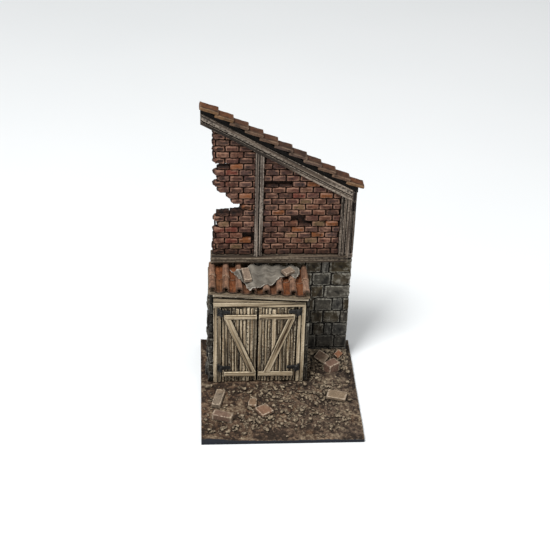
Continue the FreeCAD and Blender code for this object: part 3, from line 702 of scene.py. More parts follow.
def lamp(name, place, aim, size, watts):
    """A square soft light that looks at a place, in metres."""
    data = bpy.data.lights.new(name, "AREA")
    data.size = size
    data.energy = watts
    made = put_in_scene(bpy.data.objects.new(name, data))
    made.location = place
    made.rotation_mode = "QUATERNION"
    made.rotation_quaternion = (Vector(aim) - Vector(place)).to_track_quat("-Z", "Y")


lamp("key_softbox", (-0.3, -0.32, 0.92), (0, 0, 0.05), 0.3, 9.5)
lamp("fill_softbox", (0.6, -0.45, 0.5), (0, 0, 0.05), 0.6, 2.0)
bpy.context.scene.view_settings.view_transform = "Standard"

# --- base, earth and pebbles ------------------------------------------------------------------------------
plate_low, plate_high = box_mm("base_plate")
plate = blank(plate_high - plate_low, (12, 12, 0))
wear_arris(plate, 0.18)
set_at(plate, (plate_low + plate_high) / 2)
finish_piece(plate, "plinth", plinth_finish, ["base_plate"])

soil_low, soil_high = box_mm("ground_layer")
stone_low, stone_high = box_mm("stone_wall")
planks_low = box_mm("left_door_planks")[0]
left_wall_low, left_wall_high = box_mm("shed_wall_left")
right_wall_low, right_wall_high = box_mm("shed_wall_right")
bank_low, bank_high = box_mm("rubble_bank")
GROUND = soil_high.z
EARTH_CELLS = 210
# How far out a door leaf reaches when it is open, and what may lie in its way, in millimetres.
LEAF_SWING = 19
LOW_PEBBLE = 1.9
TALLEST_PEBBLE = 2.4

middle = (soil_low + soil_high) / 2
middle.z = GROUND - 0.45
earth = plain_shape(
    bpy.ops.mesh.primitive_grid_add, (soil_high.x - soil_low.x, soil_high.y - soil_low.y, 1), middle,
    x_subdivisions=EARTH_CELLS, y_subdivisions=EARTH_CELLS, size=1)
for name, size, depth, strength in (("ruts", 8.0, 2, 0.9), ("clods", 2.4, 3, 0.9), ("grains", 1.1, 2, 0.8)):
    roughen(earth, cloud(name, size, depth), strength, direction="Z")
ground = points_of(earth)
across, inward = ground[:, 0] - base_low.x, ground[:, 1] - base_low.y
# The earth is heaped up at its front left corner and in the corner left of the stone wall.
ground[:, 2] += 2.0 * ease(1 - across / 24) * ease(1 - inward / 9)
ground[:, 2] += 2.0 * ease(1 - across / 4.5) ** 0.5 * ease((inward - 58) / 6)
# It is trodden flat inside the shed and where the doors swing, and a low mound lies right of the shed.
in_shed = (across > 5) & (across < 52) & (inward > planks_low.y - base_low.y - LEAF_SWING) & (inward < 62)
ground[:, 2] = np.where(in_shed, np.minimum(ground[:, 2], GROUND + 0.2), ground[:, 2])
ground[:, 2] += 1.7 * np.exp(-((across - 63) ** 2 + (inward - 46.5) ** 2) / 18)
place_points(earth, ground)
# Painted shade darkens the earth beside the shed, at the foot of the wall and along the shed's front, which
# is muddy as well. The front left corner is darker too, and pale dust lies on the right of the yard.
tone = np.full(len(ground), 0.98)
tone -= 0.45 * ease((7.5 - across) / 4) * ease((inward - 34) / 8)
tone -= 0.40 * ease((across - 49) / 3) * ease((inward - 40) / 14)
tone -= 0.22 * ease(1 - np.abs(inward - 38) / 5) * (across < 52)
tone -= 0.15 * ease((12 - inward) / 12) * ease((24 - across) / 16)
warmth = 0.06 * np.clip((38 - across) / 30, -1, 1)
keep(earth, "tint", np.stack([tone + warmth, tone, tone - warmth, np.ones(len(tone))], axis=1), 4)
with editing(earth):
    bpy.ops.mesh.extrude_region_move()
    sunk = bmesh.from_edit_mesh(earth.data)
    for vertex in sunk.verts:
        if vertex.select:
            vertex.co.z = soil_low.z
    bmesh.update_edit_mesh(earth.data)
    bpy.ops.mesh.select_all(action="SELECT")
    bpy.ops.mesh.normals_make_consistent(inside=False)
finish_piece(earth, "earth", earth_finish, ["ground_layer"], 60)
earth.data.materials.append(plinth_finish)
for face in earth.data.polygons:
    if abs(face.normal.z) < 0.01 and face.area > 1e-7:
        face.material_index = 1


def pebble_kind(shape, fine=2):
    """A pebble one millimetre across, chipped into shape."""
    kind = plain_shape(bpy.ops.mesh.primitive_ico_sphere_add, shape, subdivisions=fine, radius=0.5)
    return mark_arrises(roughen(kind, CHIPS, 0.8), 0.9)


PEBBLES = [pebble_kind((1.0, 0.75, 0.62), 1 if number < 5 else 2) for number in range(8)]
SPLINTER = pebble_kind((1.0, 0.2, 0.16))
# Where pebbles gather in the yard, in millimetres from the base's front left corner: place, spread and share.
DRIFTS = [
    (34, 34, 17, 5, 1.0), (58, 40, 7, 8, 0.8), (44, 23, 12, 8, 0.5), (10, 7, 6, 4, 0.7), (60, 17, 9, 9, 0.45),
    (30, 14, 16, 6, 0.35),
]


def wanted_at(x, y):
    drifts = [
        share * math.exp(-(((x - across) / wide) ** 2) - ((y - inward) / deep) ** 2)
        for across, inward, wide, deep, share in DRIFTS
    ]
    return 0.05 + sum(drifts)


def in_the_yard():
    """A place for a pebble, and how large it may be there: small where the doors swing over it."""
    while True:
        x = chance.uniform(0.8, 74.2)
        y = chance.uniform(0.8, 60.5)
        place = base_low + Vector((x, y, 0))
        if place.y > planks_low.y - 0.6 and left_wall_low.x - 0.3 < place.x < right_wall_high.x + 0.3:
            continue
        if chance.random() < wanted_at(x, y):
            swing = planks_low.y - LEAF_SWING < place.y and left_wall_high.x < place.x < right_wall_low.x
            return place, LOW_PEBBLE if swing else TALLEST_PEBBLE


def drop(kind, place, size, tints, tilt=0.5, flat=1.0):
    """Lays a pebble on the earth, a third of it sunk in."""
    turn = turned(chance.uniform(0, 6.28), "Z") @ turned(chance.uniform(-tilt, tilt), "X")
    long, tall = chance.uniform(0.8, 1.3), chance.uniform(0.75, 1.1)
    stretch = Matrix.Diagonal((size * long, size, size * flat * tall, 1))
    pebble = copy_of(kind, Matrix.Translation(place) @ turn @ stretch)
    return set_tint(pebble, chance.choice(tints))


PEBBLE_COUNT = 760
SPLINTER_COUNT = 80
RUBBLE_COUNT = 340
gravel = []
for number in range(PEBBLE_COUNT):
    place, limit = in_the_yard()
    size = min(limit, 0.5 + 1.9 * chance.random() ** 2.6)
    flat = 0.6 if limit == LOW_PEBBLE else 1.0
    place.z = GROUND - 0.3 + size * 0.24
    gravel.append(drop(chance.choice(PEBBLES), place, size, PEBBLE_TINTS, 0.5 * flat ** 2, flat))
for number in range(SPLINTER_COUNT):
    place, limit = in_the_yard()
    place.z = GROUND - 0.05
    gravel.append(drop(SPLINTER, place, chance.uniform(1.4, 3.0), PEBBLE_TINTS, 0.1))
finish_piece(join(gravel, "gravel"), "gravel", pebble_paint, smooth=25)

yard_stones = dress("yard_stones", 2, 0.15)
roughen(yard_stones, CHIPS, 0.5)
tint_islands(yard_stones, PEBBLE_TINTS)
finish_piece(yard_stones, "broken_stones", pebble_paint, ["yard_stones"], 40)


def colour_near(piece, place, reach, colour):
    """Paints what lies within reach of a place, so that one brick of many gets its own colour."""
    layer = layer_of(piece, "tint", 4)
    for vertex in piece.data.vertices:
        if (vertex.co - place).length < reach:
            layer.data[vertex.index].color = colour


loose_bricks = dress("loose_bricks", 5, 0.2)
# The broken brick in the middle of the yard has lost its two far corners.
HALF_BRICK = base_low + Vector((24.33, 25.6, GROUND + 0.7))
half_turn = Matrix.Rotation(math.radians(-6), 3, "Z")
for vertex in loose_bricks.data.vertices:
    spot = half_turn.inverted() @ (vertex.co - HALF_BRICK)
    if spot.length < 3.9 and spot.y > 0:
        spot.x = spot.x * math.sqrt(max(0.05, 1 - (spot.y / 3.0) ** 2)) + 0.25 * spot.y
        vertex.co = HALF_BRICK + half_turn @ spot
roughen(loose_bricks, CHIPS, 0.2)
roughen(loose_bricks, DENTS, 0.2)
tint_islands(loose_bricks, paints("#85735f"))
# Across and inward from the base's corner, height above it, reach and colour of each.
for across, inward, up, reach, colour in (
    (7.2, 26.7, 3.5, 5.5, "#857868"), (8.4, 15.1, 4.0, 5.0, "#74594c"), (23.7, 24.7, 3.2, 3.5, "#84684f"),
    (29.3, 18.4, 3.2, 4.5, "#8a6650"), (63.1, 29.4, 3.2, 5.5, "#8e7b64"), (63.7, 48.3, 6.0, 5.2, "#78594c"),
    (68.0, 57.9, 6.2, 2.9, "#8d5636"), (58.5, 59.0, 6.0, 4.2, "#5b4537"),
):
    colour_near(loose_bricks, base_low + Vector((across, inward, up)), reach, paint(colour))
finish_piece(loose_bricks, "fallen_bricks", fallen_brick_paint, ["loose_bricks"])

# --- rubble at the foot of the wall -----------------------------------------------------------------------
RUBBLE_TINTS = paints("#2c231a #392d23 #1f1913 #48392c #3e281b #2a2621")
bank = dress("rubble_bank", 16, 0.3)
roughen(bank, cloud("heap", 1.8, 3), 1.8)
rubble = [set_tint(bank, paint("#1f1812"))]
for number in range(RUBBLE_COUNT):
    x = chance.uniform(bank_low.x - 0.4, bank_high.x - 0.4)
    y = bank_high.y - (bank_high.y - bank_low.y + 2.5) * chance.random() ** 1.3
    rise = max(0.0, (y - bank_low.y) / (bank_high.y - bank_low.y)) * (bank_high.z - bank_low.z)
    size = 0.6 + 2.0 * chance.random() ** 2
    rubble.append(drop(chance.choice(PEBBLES), Vector((x, y, GROUND + rise - 0.1)), size, RUBBLE_TINTS, 0.9))
finish_piece(join(rubble, "rubble"), "rubble", pebble_paint, ["rubble_bank"], 45)
discard(*PEBBLES, SPLINTER)


# --- masonry ----------------------------------------------------------------------------------------------
def worn_block(size, cuts, arris, chip, dent, torn=0.0):
    """One brick or stone about the origin, hollowed and chipped. Torn, its left end has lost its corners."""
    block = blank(size, cuts)
    wear_arris(block, arris)
    mark_edges(block, arris * 1.05)
    if torn:
        points = points_of(block)
        half = np.array(size) / 2
        end = np.clip((-points[:, 0] - half[0] + torn * 1.6) / (torn * 1.6), 0, 1)
        corner = (np.abs(points[:, 2]) / half[2]) ** 2 + 0.5 * (np.abs(points[:, 1]) / half[1]) ** 4
        points[:, 0] += torn * end * corner
        place_points(block, points)
    roughen(block, CHIPS, chip)
    roughen(block, DENTS, dent)
    return block


COURSE = 3.03
BRICK_PITCH = 6.28
JOINT = 0.62
BRICK_TALL = COURSE - JOINT
panel_low, panel_high = box_mm("brick_panel_left")
right_low, right_high = box_mm("brick_panel_right")
sill_high = box_mm("sill_beam")[1]
rafter_low, rafter_high = box_mm("rafter_beam")
ROOF_SLOPE = math.radians(29.4)
RAFTER_HEIGHT = 5.3
WALL_THICK = panel_high.y - panel_low.y
WHOLE = BRICK_PITCH - JOINT
# How many of each kind are modelled, their length, cuts, arris, chips and dents, and how far the end is torn.
brick_kinds = {
    kind: [worn_block((length, WALL_THICK, BRICK_TALL), *wear) for number in range(count)]
    for kind, count, length, *wear in (
        ("whole", 9, WHOLE, (6, 2, 3), 0.36, 0.4, 0.5),
        ("half", 4, WHOLE / 2, (3, 2, 3), 0.36, 0.4, 0.4),
        ("torn", 5, WHOLE, (9, 3, 5), 0.4, 0.7, 0.8, 1.5),
    )
}

# Where the left panel's courses begin, from the sill up, in millimetres from its outermost brick.
TORN_EDGE = [0, 0, 0.5, 0.5, 0.5, 2.0, 0.5, 1.8, 11.4, 7.5, 5.6, 1.6, 0.6, 0.7, 0.7, 0.7, 0.5, 0.5, 0.3]
LEFT_BOND = (1, 0.34)
RIGHT_BOND = (0.14, 0.65)
# Bricks of this height have lost half of their mortar too.
HALF_GONE = 0.5
# Bricks that are gone or have lost their tops: course, start and end from the left panel's edge, height left.
LOST = [
    (3, 14.1, 21.4, 0), (2, 17.9, 20.1, 0.25), (6, 37.4, 43.1, 0), (5, 40.2, 43.7, 0.4),
    (12, 24.4, 30.0, 0.3), (12, 30.2, 35.6, 0.3), (15, 0, 7.0, HALF_GONE), (7, 0, 11.4, HALF_GONE),
]
# Bricks that were painted a colour of their own: course, place from the left panel's edge, colour.
PICKED_OUT = [
    (8, 14.0, BRICK_ORANGE), (4, 9.5, BRICK_RED), (4, 3.0, BRICK_RED), (2, 9.5, BRICK_RED),
    (1, 11.0, BRICK_TAN), (12, 46.5, BRICK_ORANGE), (12, 53.0, BRICK_ORANGE), (10, 53.5, BRICK_ORANGE),
    (10, 40.5, BRICK_RED), (5, 49.0, BRICK_TAN), (5, 55.5, BRICK_ORANGE), (3, 36.0, BRICK_TAN),
    (14, 7.5, BRICK_RED), (15, 9.0, BRICK_ORANGE), (8, 42.0, BRICK_TAN), (2, 48.0, BRICK_TAN),
    (4, 42.0, BRICK_ORANGE), (3, 49.0, BRICK_ORANGE), (5, 3.5, BRICK_TAN), (2, 15.0, BRICK_ORANGE),
    (7, 33.5, BRICK_ORANGE), (10, 14.0, BRICK_ORANGE), (9, 46.0, BRICK_TAN),
]
# The torn top of this course rises from the left to the brick above.
SLOPING_COURSE = 7
# How far the mortar lies back behind a whole brick, where one is broken or gone, and on the sloping course.
MORTAR_BACK = 1.8
HOLE_BACK = 3.0
SLOPE_BACK = 1.2
MORTAR_TINT = (0.003, 0.0018, 0.0012, 0.0)
# Bricks this near a post, or with a foot this near the rafter, are darker and greyer.
NEAR_POST = 2.5
NEAR_RAFTER = 6
# How much of a brick may lie outside a place in LOST and it is still the one that is meant.
LEEWAY = 0.9


def rafter_under(x):
    """Height of the rafter's underside over a place along the wall."""
    return rafter_high.z - RAFTER_HEIGHT - (x - rafter_low.x) * math.tan(ROOF_SLOPE)


def under_the_rafter(piece):
    """Trims a panel or a post along the rafter's underside."""
    point = (0, 0, rafter_under(0) - 0.05)
    return saw(piece, point, (math.sin(ROOF_SLOPE), 0, math.cos(ROOF_SLOPE)))


def lay_brick(left, right, foot, tall, torn, tint):
    """One brick between two joints, cut or stretched to fit, a little out of line with its neighbours."""
    kind = "torn" if torn else "whole" if right - left > WHOLE * 0.7 else "half"
    length = WHOLE / 2 if kind == "half" else WHOLE
    middle = Vector(((left + right) / 2, (panel_low.y + panel_high.y) / 2 + chance.uniform(-0.22, 0.14),
                     foot + tall / 2))
    flip = turned(math.pi if chance.random() < 0.5 else 0.0, "X")
    place = (
        Matrix.Translation(middle) @ turned(chance.uniform(-0.04, 0.04), "Y") @ flip
        @ Matrix.Diagonal(((right - left) / length, 1, tall / BRICK_TALL, 1))
    )
    brick = set_tint(copy_of(chance.choice(brick_kinds[kind]), place), tint)
    if torn:
        # The broken end is painted in shade, as in the notches of the torn edge.
        reach = chance.uniform(0.6, 1.8)
        darken_in_shade(brick, np.clip((points_of(brick)[:, 0] - left - reach * 0.5) / (reach * 0.6), 0.05, 1))
    # The top of a brick that has lost height is painted in shade.
    if tall < BRICK_TALL * 0.9:
        darken_in_shade(brick, np.clip((foot + tall - 0.35 - points_of(brick)[:, 2]) / 0.3, 0.04, 1))
    return brick


def brick_tint(course, left, right, near_timber):
    """A brick's own colour, darker in the two lowest courses and darker and greyer near the timbers."""
    for number, across, colour in PICKED_OUT:
        if number == course and left < panel_low.x + across < right:
            return colour
    tint = chance.choice(BRICK_TINTS)
    low_course_tone = (0.42, 0.8)[course] if course < 2 else 1.0
    cast = (0.72, 0.8, 0.92) if near_timber else (1.08, 1.0, 0.94)
    return tuple(channel * low_course_tone * part for channel, part in zip(tint, cast)) + (0.35 if course == 0 else 1.0,)


def mortar(left, right, foot, tall, deep):
    """The mortar behind one brick, nearly black, that also fills the joints around it."""
    strip = blank((right - left, deep, tall), (max(1, int((right - left) / 0.7)), 2, 4))
    roughen(strip, CHIPS, 0.5)
    middle_y = (panel_low.y + panel_high.y) / 2 + (WALL_THICK - deep) * 0.2
    set_at(strip, ((left + right) / 2, middle_y, foot + tall / 2))
    return set_tint(strip, MORTAR_TINT)


def lost_height(course, left, right):
    """How much of a brick's height is left: 1 for a whole one and 0 where it is gone."""
    for number, start, end, height in LOST:
        if number == course and left < panel_low.x + end - LEEWAY and right > panel_low.x + start + LEEWAY:
            return height
    return 1.0


def brick_panel(low, high, edge, bond, name, node):
    """Courses of bricks up to the rafter, on dark mortar that is cut back behind them and the holes."""
    laid = []
    torn = len(edge) > 1
    for course in range(math.ceil((high.z - sill_high.z) / COURSE) + 1):
        foot = sill_high.z + COURSE * course + JOINT
        start = low.x + edge[min(course, len(edge) - 1)]
        first = True
        joint = low.x + BRICK_PITCH * bond[course % 2]
        while joint < high.x + BRICK_PITCH:
            left = max(start, joint - BRICK_PITCH + JOINT / 2)
            right = min(high.x, joint - JOINT / 2)
            joint += BRICK_PITCH
            height = lost_height(course, left, right)
            if torn and first and start + 0.1 < right < left + 0.9:
                continue
            at_edge = torn and first and right > left
            bed_left = left + 1.4 if at_edge else left - JOINT
            bed_right = min(high.x, right + JOINT / 2)
            if rafter_under(left) < foot or bed_right - bed_left < 0.1:
                continue
            deep = WALL_THICK - (MORTAR_BACK if height == 1.0 else HOLE_BACK)
            tall = COURSE * 0.6 if height == HALF_GONE else COURSE + 0.05
            laid.append(mortar(bed_left, bed_right, foot - JOINT, tall, deep))
            if course == SLOPING_COURSE and height < 1:
                for third in range(3):
                    x = left + (right - left) * (third + 0.5) / 3
                    tall = COURSE * (0.62 + 0.4 * (x - low.x) / edge[course + 1])
                    laid.append(mortar(x - 1.1, x + 1.1, foot - JOINT, tall, WALL_THICK - SLOPE_BACK))
            if height and right - left > 0.7:
                first = False
                by_post = right > high.x - NEAR_POST or (left < low.x + NEAR_POST and not torn)
                near_timber = by_post or rafter_under(right) < foot + NEAR_RAFTER
                tint = brick_tint(course, left, right, near_timber)
                laid.append(lay_brick(left, right, foot, BRICK_TALL * height, at_edge, tint))
    panel = under_the_rafter(join(laid, name))
    return finish_piece(panel, name, brick_paint, [node])


brick_panel(panel_low, panel_high, TORN_EDGE, LEFT_BOND, "brickwork_left", "brick_panel_left")
brick_panel(right_low, right_high, [0], RIGHT_BOND, "brickwork_right", "brick_panel_right")
for kinds in brick_kinds.values():
    discard(*kinds)

# --- the stone wall ---------------------------------------------------------------------------------------
STONE_LENGTH = 8.2
STONE_COURSE = 7.45
TOP_STONE_HEIGHT = 8.1
# Lengths of the stones at the wall's right end, from the top course down, as shares of the usual length.
END_STONES = [
    (1.34, 0.43, 0.94), (1.17, 1.11), (1.55, 0.79), (0.39, 0.63, 1.04), (0.48, 1.05, 0.76),
    (0.95, 0.49, 0.66), (0.76, 1.10), (1.12, 1.16),
]
FURTHER_STONES = (1.0, 1.25, 0.85)
STONE_THICK = stone_high.y - stone_low.y
# The blocks that every stone is stretched from.
BLOCK_LONG = 8.0
BLOCK_TALL = 7.0
block_size = (BLOCK_LONG, STONE_THICK, BLOCK_TALL)
stone_kinds = [worn_block(block_size, (8, 4, 7), 0.6, 0.7, 1.0) for number in range(7)]


def lay_stone(left, right, low_z, high_z, front, back, tint, gap=0.5, lean=0.0):
    """One stone between four joints, stretched from a block and leaning a little."""
    across, deep, up = right - left - gap, back - front, high_z - low_z - gap
    place = (
        Matrix.Translation(((left + right) / 2, (front + back) / 2, (low_z + high_z) / 2))
        @ turned(lean, "X") @ turned(lean * 0.7, "Y")
        @ Matrix.Diagonal((across / BLOCK_LONG, deep / STONE_THICK, up / BLOCK_TALL, 1))
    )
    return set_tint(copy_of(chance.choice(stone_kinds), place), tint)


def stone_tint(height):
    """Stones are darker towards the ground."""
    share = min(1.0, 0.24 + (height - GROUND) / 46)
    return tuple(channel * share for channel in chance.choice(STONE_TINTS)[:3]) + (share,)


stones = []
top = stone_high.z
for course, ends in enumerate(END_STONES):
    foot = max(GROUND, top - (STONE_COURSE if course else TOP_STONE_HEIGHT))
    right = stone_high.x
    for number in range(20):
        further = FURTHER_STONES[(course + number) % len(FURTHER_STONES)]
        share = ends[number] if number < len(ends) else further
        left = max(stone_low.x, right - share * STONE_LENGTH)
        if left - stone_low.x < 2.0:
            left = stone_low.x
        proud = -0.2 if course == 0 and number < 2 else chance.uniform(-0.05, 0.35)
        tint = stone_tint(foot)
        if course == 0 and number == 1:
            tint = paint("#7c7870")
        back = stone_high.y - chance.uniform(0, 0.4)
        stones.append(lay_stone(left, right, foot, top, stone_low.y + proud, back, tint))
        right = left
        if right <= stone_low.x:
            break
    top = foot
core_size = Vector((stone_high.x - stone_low.x - 2.2, STONE_THICK - 2.2, stone_high.z - stone_low.z - 0.8))
core = roughen(blank(core_size, (60, 0, 50)), CHIPS, 0.9)
set_at(core, (stone_low + stone_high) / 2)
set_tint(core, paint("#12100d"))
finish_piece(join(stones + [core], "stonework"), "stonework", stone_paint, ["stone_wall"])


def rubble_wall(node, name, outwards, heights, lengths, ragged, shade):
    """A shed wall of broken stones, ragged on the side that shows, with a near-black filling behind them, its
    stones darkened by the painted shade called shade.
    """
    low, high = box_mm(node)
    laid = []
    height = low.z
    while height < high.z - 1.2:
        tall = min(chance.uniform(*heights), high.z - height)
        y = low.y
        while y < high.y - 1.0:
            deep = min(chance.uniform(*lengths), high.y - y)
            lower = (high.z - height) / (high.z - low.z)
            shy = min(2.2, ragged * chance.random() + (1 - lower) * ragged)
            left = low.x + (shy if outwards < 0 else 0)
            right = high.x - (shy if outwards > 0 else 0)
            pale = shade * chance.choice((0.3, 0.45, 0.7, 1.3, 1.9))
            tint = tuple(channel * pale for channel in stone_tint(height)[:3]) + (min(1.0, pale),)
            laid.append(lay_stone(left, right, height, height + tall, y + 0.2, y + deep - 0.3, tint, 0.9,
                                  chance.uniform(-0.3, 0.3) * min(1.0, ragged)))
            y += deep
        height += tall
    thick = (high.x - low.x) * 0.36
    filling = roughen(blank((thick, high.y - low.y - 1.6, high.z - low.z - 2.4), (2, 10, 30)), CHIPS, 0.6)
    inner = high.x - thick * 0.55 if outwards < 0 else low.x + thick * 0.55
    set_at(filling, (inner, (low.y + high.y) / 2 + 0.3, (low.z + high.z) / 2 - 0.8))
    laid.append(set_tint(filling, paint("#0b0907")))
    return finish_piece(join(laid, name), name, stone_paint, [node])


rubble_wall("shed_wall_left", "shed_stones_left", -1, (3.0, 7.0), (2.6, 6.0), 1.6, 0.8)
rubble_wall("shed_wall_right", "shed_stones_right", 1, (9.0, 15.0), (4.0, 8.0), 0.3, 0.75)
discard(*stone_kinds)


# --- timber -----------------------------------------------------------------------------------------------
def timber(size, groove=0.5, shake=0.45, arris=0.16, fine=0.28):
    """A weathered timber about the origin, its grain along X: grooved, a little bowed, with worn edges."""
    cuts = (min(90, int(size[0] / 0.9)), max(1, int(size[1] / (fine * 2.4))), max(3, int(size[2] / fine)))
    piece = wear_arris(blank(size, cuts), arris, 1)
    mark_edges(piece, arris * 1.05)
    roughen(piece, GRAIN, groove, (20, 1, 1))
    roughen(piece, SHAKES, shake, (28, 1, 1))
    return keep_grain(piece)


def boards(length, depth, widths, gap=0.36, step=0.3, **wear):
    """Strips of one split timber side by side, the first at the foot, with dark shakes between them."""
    total = sum(widths)
    across = -total / 2
    strips = []
    for number, width in enumerate(widths):
        low = across + (gap / 2 if number else 0)
        high = across + width - (gap / 2 if number < len(widths) - 1 else 0)
        back = chance.uniform(0, step)
        strip = timber((length - chance.uniform(0, 0.3), depth - back, high - low), **wear)
        strips.append(set_at(strip, (0, back / 2, (low + high) / 2)))
        across += width
    if len(widths) > 1:
        # A core behind the strips is painted dark, as wash and painted shade in the shakes between them.
        core = timber((length - 0.8, depth - 2.2, total - 0.8), fine=0.6)
        strips.append(sink_whole(core))
    return join(strips, "boards")


UPRIGHT = turned(-math.pi / 2, "Y")


def post(node, name, material, slot, widths=(1,), sawn=False, shaded_from=1000.0, **wear):
    """A post in a node's box. Its strips are given from left to right, as shares of its width."""
    low, high = box_mm(node)
    size = high - low
    strips = [size.x * width / sum(widths) for width in reversed(widths)]
    piece = boards(size.z, size.y, strips, **wear)
    set_at(piece, (low + high) / 2, UPRIGHT)
    if sawn:
        under_the_rafter(piece)
    # Above that height the post is painted in shade.
    sink(piece, points_of(piece)[:, 2] > shaded_from)
    return finish_piece(piece, name, material, [node])


def lying(node, name, material, slot, heights=(1,), **wear):
    """A level beam in a node's box. Its strips are given from the foot up, as shares of its height."""
    low, high = box_mm(node)
    size = high - low
    piece = boards(size.x, size.y, [size.z * height / sum(heights) for height in heights], **wear)
    set_at(piece, (low + high) / 2)
    return finish_piece(piece, name, material, [node])


post("middle_post", "oak_post_middle", old_timber_paint, "old_timber", (1.0, 0.95), True, gap=0.65,
     groove=0.35)
post("corner_post", "oak_post_corner", corner_paint, "old_timber", (0.9, 1.25, 1.4), True, gap=0.5)
post("rear_corner_post", "oak_post_rear", old_timber_paint, "old_timber", (1.0, 0.9), shaded_from=87.0)
post("wall_plate", "oak_plate_end", old_timber_paint, "old_timber")
lying("rear_post_pad", "oak_pad", old_timber_paint, "old_timber")
lying("sill_beam", "oak_sill", sill_paint, "old_timber", (1.0, 0.8), gap=0.3, step=0.15)
post("door_post_left", "door_frame_left", door_timber_paint, "door_timber", (1.1, 1.0), gap=0.3)
post("door_post_right", "door_frame_right", door_timber_paint, "door_timber", (1.0, 1.1), gap=0.3)


def raking(node, name, height, widths, material, **wear):
    """A timber that follows the roof's slope, cut off plumb at both ends."""
    low, high = box_mm(node)
    thickness = height * math.cos(ROOF_SLOPE)
    length = (high.x - low.x) / math.cos(ROOF_SLOPE) + 8
    piece = boards(length, high.y - low.y, [thickness * width / sum(widths) for width in widths], **wear)
    set_at(piece, (low + high) / 2, turned(ROOF_SLOPE, "Y"))
    saw(piece, (low.x, 0, 0), (-1, 0, 0))
    saw(piece, (high.x, 0, 0), (1, 0, 0))
    return finish_piece(piece, name, material, [node])


raking("rafter_beam", "oak_rafter", RAFTER_HEIGHT, (1.0, 1.25), rafter_paint, gap=0.6, step=0.5, groove=0.15,
       shake=0.75)
raking("roof_decking", "roof_boarding", 2.2, (1,), shadowed_paint)


def sloped_board(node, name, thickness, material, raised=0.0, **wear):
    """A board on the front of the shed that falls to the right with its roof."""
    low, high = box_mm(node)
    size = high - low
    fall = math.atan2(size.z - thickness, size.x)
    piece = timber((size.x / math.cos(fall), size.y, (thickness + raised) * math.cos(fall)), **wear)
    set_at(piece, (low + high) / 2 + Vector((0, 0, raised / 2)), turned(fall, "Y"))
    return finish_piece(piece, name, material, [node])


sloped_board("eave_board", "eave_fascia", 1.95, eave_paint, raised=0.45, groove=0.4, shake=0.4)

LEAN_TO_FALL = math.radians(3.8)
lintel_low, lintel_high = box_mm("door_lintel")
lintel = boards(lintel_high.x - lintel_low.x, lintel_high.y - lintel_low.y,
                [share * (lintel_high.z - lintel_low.z) for share in (0.52, 0.48)], gap=0.12, step=0.05)
set_at(lintel, (lintel_low + lintel_high) / 2)
saw(lintel, (lintel_low.x, 0, lintel_high.z), (math.sin(LEAN_TO_FALL), 0, math.cos(LEAN_TO_FALL)))
finish_piece(lintel, "door_head", lintel_paint, ["door_lintel"])

for node, finish in (("roof_joists", inner_paints["Y"]), ("roof_boards", roof_board_paint),
                     ("roof_ledger", inner_paints["X"])):
    NODES[node].data.materials.clear()
    NODES[node].data.materials.append(finish)


# --- doors ------------------------------------------------------------------------------------------------
BRACE_WIDTH = 3.1
PLANK_GAP = 0.7
SPLASH_REACH = 5.5
# How much of the ironwork's length keeps its shape, and what share of the rest is left.
STRAP_KEPT = (1.0, 0.72)
PINTLE_KEPT = (1.6, 0.4)


def splash(piece):
    """Keeps how muddy each point is: mud has splashed up the foot of the doors."""
    heights = points_of(piece)[:, 2] - GROUND
    return keep(piece, "mud", ease(1.25 - heights / SPLASH_REACH))


def brace_line(body, side):
    """Middle of a brace, its lean along its leaf and half its width across the grain."""
    low, high = box_mm(f"{body}_brace")
    lean = math.atan2(high.z - low.z, high.x - low.x - BRACE_WIDTH)
    return (low + high) / 2, lean if side == "left" else -lean, BRACE_WIDTH * math.sin(lean) / 2


def shaded_by_bars(points, body, side):
    """Which points of the planks lie in the painted shadow along a brace or under a ledge."""
    middle, spin, half = brace_line(body, side)
    away = (points[:, 0] - middle.x) * math.sin(spin) + (points[:, 2] - middle.z) * math.cos(spin)
    brace_low, brace_high = box_mm(f"{body}_brace")
    along = (points[:, 2] > brace_low.z) & (points[:, 2] < brace_high.z)
    shaded = along & (np.abs(np.abs(away) - half - 0.2) < 0.28)
    for part in ("top_ledge", "bottom_ledge"):
        low, high = box_mm(f"{body}_{part}")
        under = (points[:, 2] < low.z + 0.1) & (points[:, 2] > low.z - 0.45)
        shaded |= under & (points[:, 0] > low.x) & (points[:, 0] < high.x)
    return shaded


def shorter(values, side, kept_length, share):
    """Draws in the far ends of the ironwork: what is near the hinge side stays as it is."""
    hinge, way = (values.min(), 1) if side == "left" else (values.max(), -1)
    away = (values - hinge) * way
    return hinge + way * np.where(away < kept_length, away, kept_length + (away - kept_length) * share)


# Ledges and braces are less split than the planks.
PLANED = {"groove": 0.35, "shake": 0.3, "arris": 0.14}


def finish_board(piece, body, part):
    node = f"{body}_{part}"
    return finish_piece(piece, f"{node}_board", door_timber_paint, [node], body=body)


